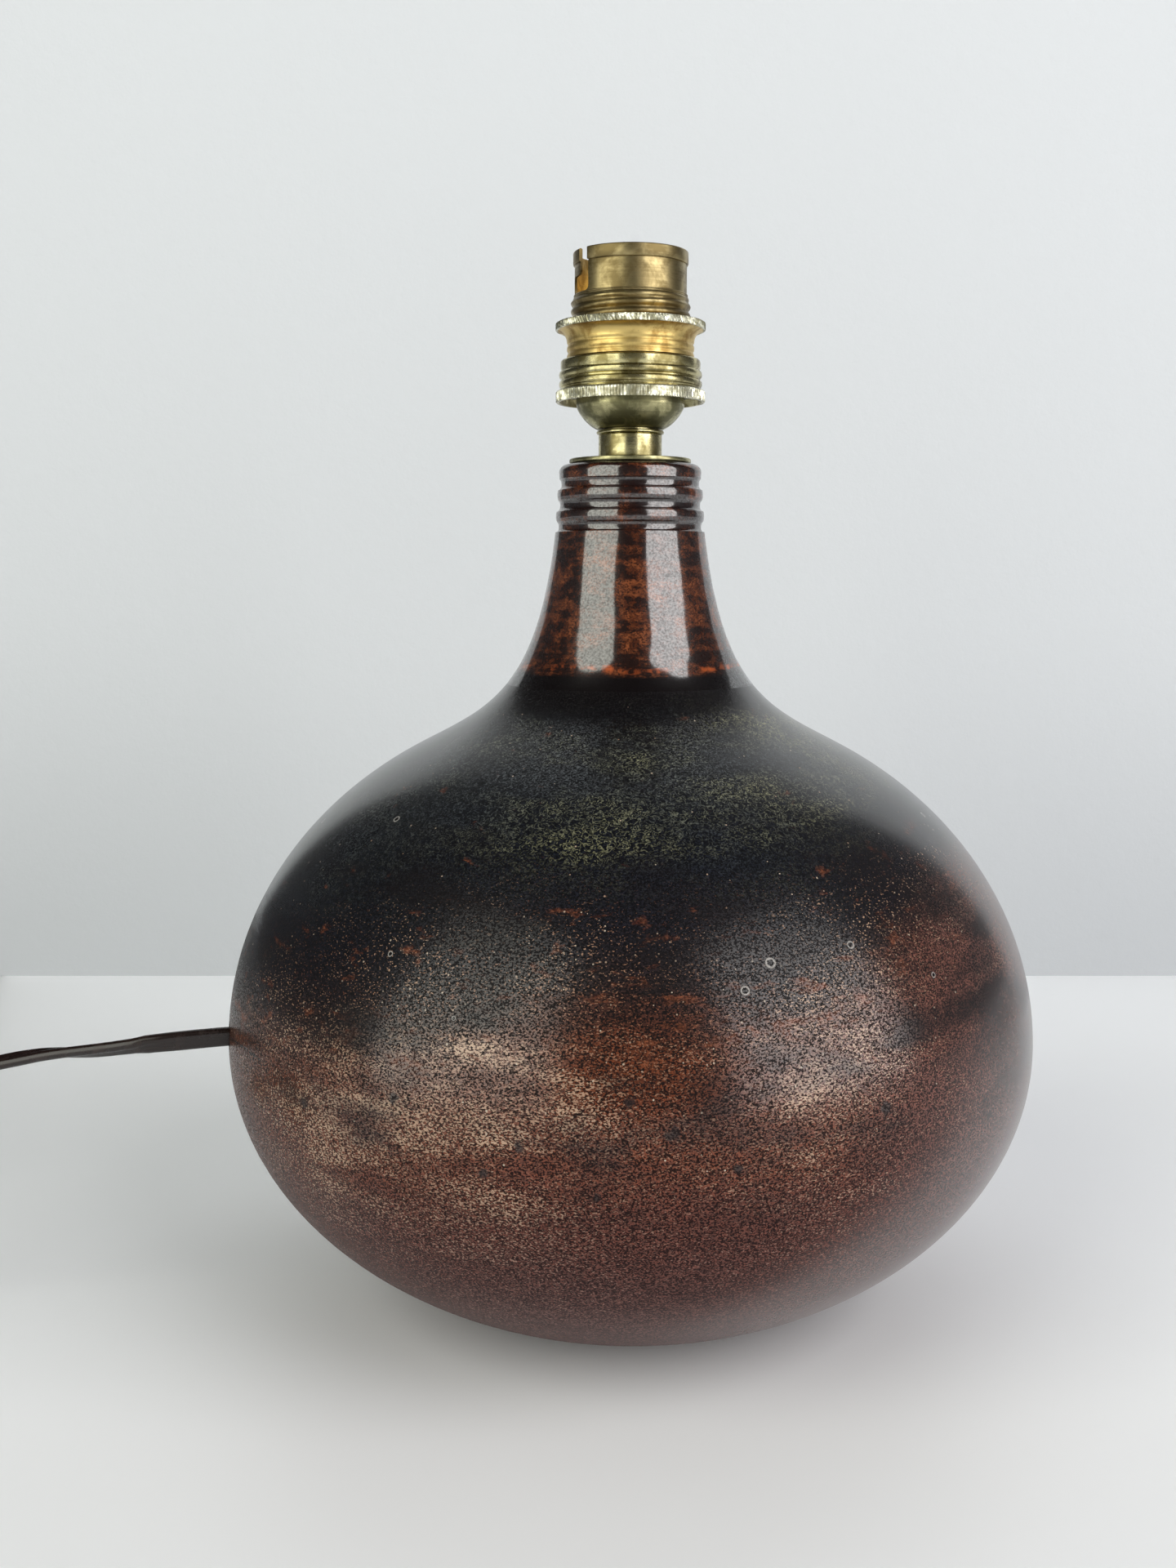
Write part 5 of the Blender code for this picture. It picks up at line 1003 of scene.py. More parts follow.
def makeBarrel():
    h = holderSet
    hemLow = h["top"] - h["hem"]
    outline = arc(0.3, 0.3, (h["sheet"] + 0.3, h["top"] - 0.3), 180, 90, 4)
    outline += arc(0.35, 0.35, (h["wall"] + h["hemStep"] - 0.35, h["top"] - 0.35), 90, 0, 4)
    outline += [
        (h["wall"] + h["hemStep"], hemLow + 0.18), (h["wall"] + h["hemStep"] - 0.12, hemLow),
        (h["wall"] - 0.08, hemLow - 0.04), (h["wall"], hemLow - 0.3),
        (h["wall"], h["threadTop"] + 0.75),
    ]
    # two fine beads rolled above the thread
    for low in (0.36, 0.0):
        outline += arc(0.17, 0.17, (h["wall"] + 0.08, h["threadTop"] + low + 0.17), 90, -90, 4)
    rows = 64
    threadLow = h["bottom"] + 1.0
    for row in range(rows + 1):
        level = h["threadTop"] - 0.1 - (h["threadTop"] - 0.1 - threadLow) * row / rows
        outline.append((h["root"] + 0.01, level))
    outline += [
        (h["root"], h["bottom"] + 0.8), (14.9, h["bottom"] + 0.8), (14.9, h["bottom"]),
        (h["bore"], h["bottom"]), (h["bore"], 229.3), (h["sheet"], 229.8),
    ]

    def thread(place):
        radius = math.hypot(place.x, place.y)
        level = place.z / mm
        inThread = h["bottom"] + 0.95 <= level <= h["threadTop"]
        if abs(radius / mm - h["root"] - 0.01) > 0.004 or not inThread:
            return
        turn = math.atan2(place.y, place.x) / math.tau
        wave = 0.5 + 0.5 * math.cos(math.tau * (level / h["pitch"] - turn))
        ends = min(1.0, (h["threadTop"] - 0.1 - level) / 0.9, (level - h["bottom"] - 1.0) / 0.9)
        grown = h["root"] + (h["crest"] - h["root"]) * wave ** 0.7 * max(0.0, ends)
        place.x *= grown * mm / radius
        place.y *= grown * mm / radius

    barrel = lathe("bayonetBarrel", outline, tubeBrass, h["turns"], thread)
    cutters = [slotCutter("slotNear", h["slotTurn"]), slotCutter("slotFar", h["slotTurn"] + 180)]
    carve(barrel, cutters)
    # painted reflection: the tube's inside above the porcelain takes the brighter gold brass, standing in for
    # light bouncing round inside it
    barrel.data.materials.append(goldBrass)
    for face in barrel.data.polygons:
        middle = face.center
        if math.hypot(middle.x, middle.y) < (h["sheet"] + 0.1) * mm and middle.z > 0.229:
            face.material_index = 1
    return barrel

def slotCutter(name, turn):
    h = holderSet
    half = h["slotWidth"] / 2
    low = -h["slotDepth"]
    ledge = low + h["slotLeg"]
    far = -half - h["slotReach"]
    corners = [(half, 3), (-half, 3), (-half, ledge), (far, ledge), (far, low), (half, low)]
    outline = softened(corners, h["slotRound"], 5)
    shape = bmesh.new()
    face = shape.faces.new([shape.verts.new((5 * mm, s * mm, (z + h["top"]) * mm)) for s, z in outline])
    grown = bmesh.ops.extrude_face_region(shape, geom=[face])["geom"]
    moved = [item for item in grown if isinstance(item, bmesh.types.BMVert)]
    bmesh.ops.translate(shape, verts=moved, vec=(12 * mm, 0, 0))
    bmesh.ops.recalc_face_normals(shape, faces=shape.faces)
    spun = Matrix.Rotation(math.radians(turn), 3, "Z")
    bmesh.ops.rotate(shape, verts=shape.verts, cent=(0, 0, 0), matrix=spun)
    return makePiece(name, shape, tubeBrass)

# cuts teeth into the rim of a flange
def knurl(outer, low, high, slanted, uneven):
    k = knurlSet

    def press(place):
        radius = math.hypot(place.x, place.y) / mm
        level = place.z / mm
        if radius < outer - 0.02 or not low - 1e-6 < level < high + 1e-6:
            return
        share = (math.atan2(place.y, place.x) / math.tau) % 1.0
        index = round(share * k["teeth"] * k["sides"])
        row = round((level - low) / max(high - low, 1e-6) * 4)
        phase = (index + (row if slanted else 0)) % k["sides"]
        depth = k["depth"] if phase in (1, 2) else 0.0
        if uneven:
            worn = noise.noise(Vector((place.x, place.y, place.z)) / mm * 1.7) * uneven
            depth = max(0.0, depth + worn * 0.25)
        place.x *= (radius - depth) / radius
        place.y *= (radius - depth) / radius
    return press

shadeRingSet = {
    "low": 220.5, "high": 228.5, "sleeve": 14.65, "flange": 17.25, "bore": 13.95, "rim": 1.6,
    "flare": 2.8,
}

def makeShadeRing():
    low, high, sleeve, flange, bore, rim, flare = shadeRingSet.values()
    knurlLow = high - rim
    flareLow = knurlLow - flare
    rows = [(flange, high - 0.15 - (rim - 0.25) * step / 4) for step in range(5)]
    outline = [(bore, high), (flange - 0.25, high)] + rows + [(flange - 0.12, knurlLow)]
    outline += bezier(
        (flange - 0.2, knurlLow), (sleeve + 0.93, knurlLow), (sleeve, flareLow + 1.4),
        (sleeve, flareLow), 14,
    )[1:]
    pitch = (flareLow - low) / 2
    for index in range(2):
        top = flareLow - index * pitch
        for step in range(1, 9):
            t = step / 8
            dip = 0.24 * math.sin(math.pi * (t / 0.55)) if t < 0.55 else 0.0
            outline.append((sleeve - dip, top - pitch * t * 0.97))
    outline += [(sleeve - 0.2, low), (bore, low)]
    piece = lathe(
        "shadeRing", outline, goldBrass, knurlSet["teeth"] * knurlSet["sides"],
        knurl(flange, knurlLow, high - 0.1, True, 0.9),
    )
    addRimMaterial(piece, silverBrass, flange - 0.35, knurlLow - 0.05, high)
    return piece

# a second finish for the knurled rim
def addRimMaterial(piece, material, radius, low, high):
    piece.data.materials.append(material)
    for face in piece.data.polygons:
        middle = face.center / mm
        if math.hypot(middle.x, middle.y) > radius and low < middle.z < high + 0.01:
            face.material_index = len(piece.data.materials) - 1

clampRingSet = {
    "top": 220.2, "low": 210.7, "body": 16.1, "flange": 17.25, "lip": 14.0, "rim": 2.4, "bead": 2.1,
}

def makeClampRing():
    top, low, body, flange, lip, rim, bead = clampRingSet.values()
    skirt = low + rim
    outline = [(lip, top - 0.75)] + arc(0.8, 0.55, (lip + 0.8, top - 0.55), 180, 90, 5)
    outline += arc(0.55, 0.6, (body - 0.55, top - 0.6), 90, 0, 6)
    beadTop = skirt + 0.5 + 2 * bead
    outline.append((body, beadTop + 0.5))
    for index in range(2):
        first = beadTop - index * bead
        outline += [(body - 0.12, first + 0.18), (body - 0.12, first)]
        outline += arc(0.42, 0.78, (body - 0.02, first - 0.95), 78, -78, 9)
    outline += [(body - 0.1, skirt + 0.42), (body + 0.28, skirt + 0.3)]
    outline += bezier(
        (body + 0.3, skirt + 0.3), (body + 0.7, skirt + 0.25), (flange - 0.2, skirt + 0.2),
        (flange - 0.1, skirt - 0.1), 4,
    )[1:]
    outline += [(flange, skirt - 0.2 - (rim - 0.35) * step / 4) for step in range(5)]
    outline += [(flange - 0.15, low), (flange - 0.8, low), (flange - 0.9, low + 0.2)]
    outline += [(flange - 0.9, skirt - 0.9), (15.2, skirt + 0.9), (15.2, top - 1.1), (lip, top - 1.1)]
    piece = lathe(
        "clampRing", outline, paleBrass, knurlSet["teeth"] * knurlSet["sides"],
        knurl(flange, low + 0.1, skirt - 0.15, False, 0.5),
    )
    addRimMaterial(piece, silverBrass, flange - 0.35, low - 0.05, skirt)
    return piece

def makeDome():
    low, sheet = 204.7, 0.9
    shoulder = low + 5.6 + 1.9

    def side(inset, count):
        start = (7.7, low + inset)
        end = (12.5 - inset, low + 5.6)
        return bezier(start, (9.6, low + inset + 0.6), (end[0], end[1] - 1.7), end, count)

    outline = [(6.5, low)] + side(0, 22) + [(12.5, shoulder - 0.4)]
    outline += arc(0.4, 0.4, (12.9, shoulder - 0.4), 180, 90, 4)
    outline += [
        (14.9, shoulder), (14.9, 217.7), (14.0, 217.7), (14.0, shoulder + sheet),
        (11.6, shoulder + sheet),
    ]
    outline += side(sheet, 14)[::-1] + [(6.5, low + sheet)]
    return lathe("holderDome", outline, agedBrass, 128)

def makeCollar():
    low, top = 198.2, 204.4
    outline = [(5.3, low), (7.0, low)] + arc(0.3, 0.3, (7.05, low + 0.3), -90, 0, 4)
    outline += [(7.35, top - 1.15), (7.2, top - 1.0)]
    outline += arc(0.5, 0.45, (7.35, top - 0.47), -80, 80, 8)
    outline += [(6.2, top), (6.2, 205.9), (7.4, 205.9), (6.9, 206.8), (5.3, 206.8)]
    return lathe("entryCollar", outline, paleBrass, 96)

def makeNeckWasher():
    low, high, edge = 196.9, 197.9, 14.15
    outline = [(5.3, low), (edge - 0.3, low)]
    outline += arc(0.25, 0.5, (edge - 0.25, (low + high) / 2), -90, 90, 6)
    outline += [(edge - 1.4, high), (edge - 1.6, high - 0.08), (5.3, high - 0.08)]
    return lathe("neckWasher", outline, agedBrass, 96)

contactSet = {"turn": 303.7, "out": 5.5}

# where a contact stands, in millimetres
def contactSpot(side):
    turn = math.radians(contactSet["turn"])
    return Vector((math.cos(turn), math.sin(turn), 0)) * side * contactSet["out"]

def makePorcelain():
    outline = [(0, 213.4), (13.3, 213.4), (13.6, 213.7), (13.6, 217.0), (13.3, 217.3), (11.2, 217.3)]
    outline += arc(0.6, 0.6, (10.6, 228.6), 0, 90, 5)
    outline += [(7.6, 229.2), (7.4, 228.85), (0, 228.85)]
    core = lathe("porcelainCore", outline, porcelain, 96, closed=False)
    cutters = []
    for side in (-1, 1):
        spot = contactSpot(side) * mm
        for name, radius, low, high in (
            ("contactHole", 2.2, 0.227, 0.231), ("contactBore", 2.7, 0.212, 0.228),
        ):
            cutters.append(rod(
                name, radius, spot + Vector((0, 0, low)), spot + Vector((0, 0, high)), porcelain, 32,
            ))
    return carve(core, cutters)

def makePlunger(name, side):
    spot = contactSpot(side) * mm
    outline = [(0, 226.2), (2.4, 226.2), (2.4, 227.7), (1.9, 227.7)]
    outline += arc(1.9, 1.1, (0, 232.6), 0, 90, 10)
    shape = latheShape(outline, 40, closed=False)
    bmesh.ops.translate(shape, verts=shape.verts, vec=spot)
    return makePiece(name, shape, goldBrass)

springSet = {"radius": 1.9, "wire": 0.25, "curls": 5, "low": 216.35, "high": 225.65, "travel": 3.0}

# a contact's spring, which its plunger presses together
def makeSpring(name, side):
    s = springSet
    spot = contactSpot(side)
    length = s["high"] - s["low"]
    rows = []
    for step in range(s["curls"] * 24 + 1):
        angle = math.tau * step / 24
        outward = Vector((math.cos(angle), math.sin(angle), 0))
        along = Vector((-math.sin(angle), math.cos(angle), 0)) * s["radius"] * math.tau
        along += Vector((0, 0, length / s["curls"]))
        across = along.normalized().cross(outward)
        middle = spot + outward * s["radius"] + Vector((0, 0, s["low"] + length * step / (s["curls"] * 24)))
        rows.append([
            middle + (outward * math.cos(a) + across * math.sin(a)) * s["wire"]
            for a in (math.tau * k / 8 for k in range(8))
        ])
    return stack(name, rows, zincSteel)

def seatSpring(name, side, node):
    spring = ride(makeSpring(name, side), "lamp", (node,))
    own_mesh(spring)

seatSpring("contactSpringFront", 1, "contact_spring_front")
seatSpring("contactSpringRear", -1, "contact_spring_rear")
ride(makeBarrel(), "lamp", ("barrel",))
ride(makeShadeRing(), "shade_ring", ("shade_ring",))
ride(makeClampRing(), "lamp", ("clamp_ring",))
ride(makeDome(), "lamp", ("holder_dome",))
ride(makeCollar(), "lamp", ("entry_collar",))
ride(makeNeckWasher(), "lamp", ("neck_washer",))
ride(makePorcelain(), "lamp", ("porcelain_core",))
ride(makePlunger("plungerFront", 1), "plunger_front", ("plunger_front",))
ride(makePlunger("plungerRear", -1), "plunger_rear", ("plunger_rear",))
print("lampholder made")

# inline switch, plug and tie

switchSet = {
    "middle": (-253.9, -25.125), "length": 58.0, "width": 22.0, "split": 6.85, "coverLow": 7.15,
    "coverTop": 14.35, "corner": 8.0, "edge": 1.5, "parting": 0.25, "wall": 1.8, "cheek": 20.0,
    "window": (16.8, 9.4), "rim": 1.3, "rimHeight": 0.45, "gripRibs": 4, "gripPitch": 2.2,
    "pivot": 11.75, "tilt": 7.0, "key": (7.6, 4.4), "keyTop": 4.8, "dish": 0.9, "pin": 1.1,
    "screws": [(6.667, 7.85), (-6.667, -7.85)], "relief": 4.6,
}

def switchRows(levels):
    s = switchSet
    return boxRows(*s["middle"], s["length"], s["width"], s["corner"], levels, 10)

def softRim(level, rounding, up):
    turns = [math.radians(90 * step / 6) for step in range(7)]
    return [(level - up * rounding * (1 - math.sin(a)), rounding * (1 - math.cos(a))) for a in turns]

def switchBox(name, length, width, corner, low, high, shift=0.0):
    x, y = switchSet["middle"]
    outline = roundedBox(length, width, corner, 5)
    rows = [[(x + shift + a, y + b, level) for a, b in outline] for level in (low, high)]
    return stack(name, rows, brownPlastic)

def switchPockets(low, high):
    s = switchSet
    length = (s["length"] - s["cheek"]) / 2 - s["wall"]
    width = s["width"] - 2 * s["wall"]
    return [
        switchBox("pocket", length, width, 2.0, low, high, side * (s["cheek"] + length) / 2)
        for side in (-1, 1)
    ]

def switchDrill(x, y, radius, low, high):
    middle = switchSet["middle"]
    spot = Vector((middle[0] + x, middle[1] + y, 0)) * mm
    lift = Vector((0, 0, mm))
    return rod("drill", radius, spot + lift * low, spot + lift * high, brownPlastic, 32)

def makeSwitchBase():
    s = switchSet
    levels = softRim(0, s["edge"], -1)[::-1] + softRim(s["split"], s["parting"], 1)
    base = stack("switchBase", switchRows(levels), brownPlastic)
    cutters = switchPockets(s["wall"], s["split"] + 1)
    cutters.append(switchBox("channel", s["cheek"] + 2, s["window"][1], 0.5, s["wall"], s["split"] + 1))
    for x, y in s["screws"]:
        cutters += [switchDrill(x, y, 1.5, -1, 8), switchDrill(x, y, 2.5, -1, 2.0)]
    return carve(base, cutters)

def makeSwitchCover():
    s = switchSet
    levels = softRim(s["coverLow"], s["parting"], -1)[::-1] + softRim(s["coverTop"], s["edge"], 1)
    cover = stack("switchCover", switchRows(levels), brownPlastic)
    x, y = s["middle"]
    length, width = s["window"]
    top = s["coverTop"]
    rimTop = top + s["rimHeight"]
    levels = ((top - 1, 0), (rimTop - 0.2, 0), (rimTop - 0.06, 0.06), (rimTop, 0.2))
    rows = boxRows(x, y, length + 2 * s["rim"], width + 2 * s["rim"], 1.6, levels)
    raised = [stack("windowRim", rows, brownPlastic)]
    # ribs for the fingers at each end
    for side in (-1, 1):
        for index in range(s["gripRibs"]):
            middle = x + side * (15.2 + s["gripPitch"] * index)
            rows = []
            for level, inset in ((top - 1, 0), (top + 0.15, 0.05), (top + 0.35, 0.3)):
                outline = roundedBox(1.1 - 2 * inset, 13 - 2 * inset, 0.5 - inset / 2, 4)
                rows.append([(middle + a, y + b, level) for a, b in outline])
            raised.append(stack("gripRib", rows, brownPlastic))
    carve(cover, raised, join=True)
    cutters = switchPockets(s["coverLow"] - 1, s["coverTop"] - s["wall"])
    cutters.append(switchBox("window", length, width, 0.6, s["coverLow"] - 1, s["coverTop"] + 2))
    reach = Vector((0, (width / 2 + 1.2) * mm, 0))
    pivot = Vector((x, y, s["pivot"])) * mm
    cutters.append(rod("pivotBore", s["pin"] + 0.3, pivot - reach, pivot + reach, brownPlastic, 32))
    for a, b in s["screws"]:
        cutters.append(switchDrill(a, b, 1.5, s["coverLow"] - 1, 10.1))
    return carve(cover, cutters)

# the dished key on its two pins, its far end pressed down
def makeRocker():
    s = switchSet
    half, side = s["key"]
    top = s["keyTop"]
    outline = [(half, 0), (half, top - 0.7)] + arc(0.6, 0.6, (half - 0.6, top - 0.6), 20, 70, 4)
    count = 60
    for step in range(1, count):
        x = (half - 0.7) * (1 - 2 * step / count)
        z = top - s["dish"] * math.cos(math.pi / 2 * x / half) ** 1.4
        if 3.0 < abs(x) < 6.6:
            z += 0.22 * (0.5 - 0.5 * math.cos(math.tau * (abs(x) - 3.0) / 1.2)) - 0.02
        outline.append((x, z))
    outline += [(-x, z) for x, z in arc(0.6, 0.6, (half - 0.6, top - 0.6), 70, 20, 4)]
    outline += [(-half, top - 0.7), (-half, 0), (-half / 2 + 0.4, -3.4), (half / 2 - 0.4, -3.4)]
    rows = []
    for y, inset in (
        (-side, 0.3), (-side + 0.1, 0.1), (-side + 0.3, 0),
        (side - 0.3, 0), (side - 0.1, 0.1), (side, 0.3),
    ):
        share = 1 - inset / 4
        rows.append([(x * share, y, 0.8 + (z - 0.8) * share) for x, z in outline])
    key = stack("switchRocker", rows, brownPlastic)
    reach = Vector((0, (side + 1.2) * mm, 0))
    carve(key, [rod("rockerPins", s["pin"], -reach, reach, brownPlastic, 32)], join=True)
    place = Vector((*s["middle"], s["pivot"])) * mm
    key.data.transform(Matrix.Translation(place) @ Matrix.Rotation(math.radians(s["tilt"]), 4, "Y"))
    return key

# a ribbed sleeve that tapers from a housing down to the flex
def makeRelief(name, start, end, y, z, root, tip, ribs):
    rows = []
    count = ribs * 8
    for step in range(count + 1):
        t = step / count
        dip = 0.22 * (0.5 - 0.5 * math.cos(math.tau * ribs * t)) if t < 0.98 else 0.1
        width = root[0] + (tip[0] - root[0]) * t - 2 * dip
        tall = root[1] + (tip[1] - root[1]) * t - 2 * dip
        outline = roundedBox(width, tall, tall * 0.45, 6)
        rows.append([(start + (end - start) * t, y + a, z + b) for a, b in outline])
    return stack(name, rows, brownPlastic)

plugSet = {
    "start": -274.3, "middle": (51.125, 6.85), "relief": 20.0, "taper": 14.0, "grip": 13.0,
    "width": 35.3, "tall": 13.7, "root": (9.4, 7.4), "tip": (6.4, 5.2), "ribs": 6, "ribDepth": 0.5,
    "gripRibs": 5, "pin": 2.0, "pinLength": 19.0, "pinSeat": 4.0, "pinSpacing": 18.6,
}

def makePlug():
    p = plugSet
    y, z = p["middle"]
    face = p["relief"] + p["taper"] + p["grip"]
    spots = [p["relief"] * step / (8 * p["ribs"]) for step in range(8 * p["ribs"] + 1)]
    spots += [p["relief"] + p["taper"] * step / 16 for step in range(1, 17)]
    shoulder = p["relief"] + p["taper"]
    spots += [shoulder + (p["grip"] - 1) * step / 40 for step in range(1, 41)]
    spots += [face - 1 + math.sin(math.radians(18 * step)) for step in range(1, 6)]
    rows = []
    for spot in spots:
        ease = eased((spot - p["relief"]) / p["taper"])
        along = min(1.0, spot / p["relief"])
        width = p["tip"][0] + (p["root"][0] - p["tip"][0]) * along + (p["width"] - p["root"][0]) * ease
        tall = p["tip"][1] + (p["root"][1] - p["tip"][1]) * along + (p["tall"] - p["root"][1]) * ease
        if spot < p["relief"]:
            dip = p["ribDepth"] * (0.5 - 0.5 * math.cos(math.tau * p["ribs"] * along)) ** 0.7
            width, tall = width - dip, tall - dip
        elif shoulder + 2 < spot < face - 2.5:
            t = (spot - shoulder - 2) / (p["grip"] - 4.5)
            width -= 0.9 * (0.5 - 0.5 * math.cos(math.tau * p["gripRibs"] * t))
        elif spot > face - 1:
            inset = 1 - math.sqrt(max(0.0, 1 - (spot - face + 1) ** 2))
            width, tall = width - 2 * inset, tall - 2 * inset
        outline = roundedBox(width, tall, tall * 0.34, 8)
        rows.append([(p["start"] + spot, y + a, z + b) for a, b in outline])
    body = stack("plugBody", rows, brownPlastic)
    cutters = []
    for side in (-1, 1):
        end = Vector((p["start"] + face, y + side * p["pinSpacing"] / 2, z)) * mm
        inward = Vector((-(p["pinSeat"] + 0.3) * mm, 0, 0))
        cutters.append(rod("pinHole", p["pin"] + 0.15, end + inward, end - inward, brownPlastic, 40))
    return carve(body, cutters)

def makePin(name, side):
    p = plugSet
    y, z = p["middle"]
    length = p["pinLength"] + p["pinSeat"]
    outline = [(0, 0), (p["pin"] - 0.2, 0), (p["pin"], 0.2)]
    outline += arc(1.1, 1.1, (p["pin"] - 1.1, length - 1.1), 0, 90, 8) + [(0, length)]
    shape = latheShape(outline, 48, closed=False)
    foot = Vector((
        p["start"] + p["relief"] + p["taper"] + p["grip"] - p["pinSeat"], y + side * p["pinSpacing"] / 2, z,
    )) * mm
    turn = Matrix.Translation(foot) @ Matrix.Rotation(math.radians(90), 4, "Y")
    bmesh.ops.transform(shape, matrix=turn, verts=shape.verts)
    return makePiece(name, shape, goldBrass)

tieSet = {
    "middle": (-348.05, 13.0, 5.65), "length": 25.3, "tall": 11.3, "round": 2.8, "thick": 0.5,
    "wide": 9.0,
}

def makeTie():
    t = tieSet
    x, y, z = t["middle"]
    outer = roundedBox(t["length"], t["tall"], t["round"], 8)
    inner = roundedBox(t["length"] - 2 * t["thick"], t["tall"] - 2 * t["thick"], t["round"] - t["thick"], 8)
    half = t["wide"] / 2
    rows = []
    for (a, b), (c, d) in zip(outer, inner):
        e, f = (a + c) / 2, (b + d) / 2
        rows.append([
            (x + a, y - half + 0.15, z + b), (x + a, y + half - 0.15, z + b), (x + e, y + half, z + f),
            (x + c, y + half - 0.15, z + d), (x + c, y - half + 0.15, z + d), (x + e, y - half, z + f),
        ])
    return stack("coilTie", rows, flexSheath, loop=True)

# the tie's free end, laid back over its top
def makeTieEnd():
    t = tieSet
    x, y, z = t["middle"]
    outline = roundedBox(14.0, t["wide"] - 0.8, 2.6, 8)
    top = z + t["tall"] / 2
    rows = [
        [(x + 2 + a * share, y + b * share, level) for a, b in outline]
        for level, share in ((top - 0.1, 1.0), (top + 0.32, 1.0), (top + 0.45, 0.975))
    ]
    return stack("coilTieEnd", rows, flexSheath)

switchBase = ride(makeSwitchBase(), "lamp", ("switch_base",))
switchCover = ride(makeSwitchCover(), "lamp", ("switch_cover",))
switchRocker = ride(makeRocker(), "switch_rocker", ("switch_rocker",))
for reliefName, side in (("switchReliefNear", 1), ("switchReliefFar", -1)):
    root = switchSet["middle"][0] + side * (switchSet["length"] / 2 - 0.4)
    ride(makeRelief(
        reliefName, root, root + side * switchSet["relief"], switchSet["middle"][1], 7.0,
        (8.6, 6.4), (5.9, 3.7), 3,
    ))
plugBody = ride(makePlug(), "lamp", ("plug_body",))
pinNear = ride(makePin("plugPinNear", -1), "lamp", ("plug_pin_near",))
pinFar = ride(makePin("plugPinFar", 1), "lamp", ("plug_pin_far",))
tie = ride(makeTie(), "lamp", ("coil_tie",))
tieEnd = ride(makeTieEnd())
print("switch, plug and tie made")

# materials of the pieces that keep their own shape

keptFinishes = {
    "neck_bush": bushRubber, "threaded_tube": zincSteel, "clamp_bar": zincSteel,
    "clamp_washer": zincSteel, "clamp_nut": goldBrass,
    "terminal_front": goldBrass, "terminal_rear": goldBrass,
    "terminal_screw_front": zincSteel, "terminal_screw_rear": zincSteel,
    "inner_flex": flexSheath, "core_wire_front": coreCopper, "core_wire_rear": coreCopper,
    "switch_contact_live": goldBrass, "switch_contact_load": goldBrass,
    "switch_screw_1": zincSteel, "switch_screw_2": zincSteel,
}
for nodeName, finish in keptFinishes.items():
    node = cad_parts[nodeName]
    for slot in node.material_slots:
        slot.material = finish

# table, wall and light

stageSet = {
    "wallAt": 0.29, "reach": 1.2, "litLeft": -0.26, "litRight": 0.42,
    "table": (222, 225, 229), "tableSeen": (247, 249, 252), "wall": (203, 206, 210),
    "leftTurn": 46.0, "leftWide": 1.4, "leftGlow": 2.9, "leftTint": (0.99, 1.0, 0.9),
    "rightTurn": -51.0, "rightWide": 1.4, "rightGlow": 3.9, "rightTint": (1.0, 0.98, 0.97),
    "ceilingGlow": 0.4, "ceilingHigh": 2.2, "ceilingWide": 2.5,
    "panelTall": 2.7, "panelFar": 1.5, "roomFar": 2.6, "sky": (0.66, 0.69, 0.72),
}

def flatSheet(name, corners, material):
    shape = bmesh.new()
    shape.faces.new([shape.verts.new(corner) for corner in corners])
    mesh = bpy.data.meshes.new(name)
    shape.to_mesh(mesh)
    shape.free()
    mesh.materials.append(material)
    piece = bpy.data.objects.new(name, mesh)
    scene.collection.objects.link(piece)
    return piece

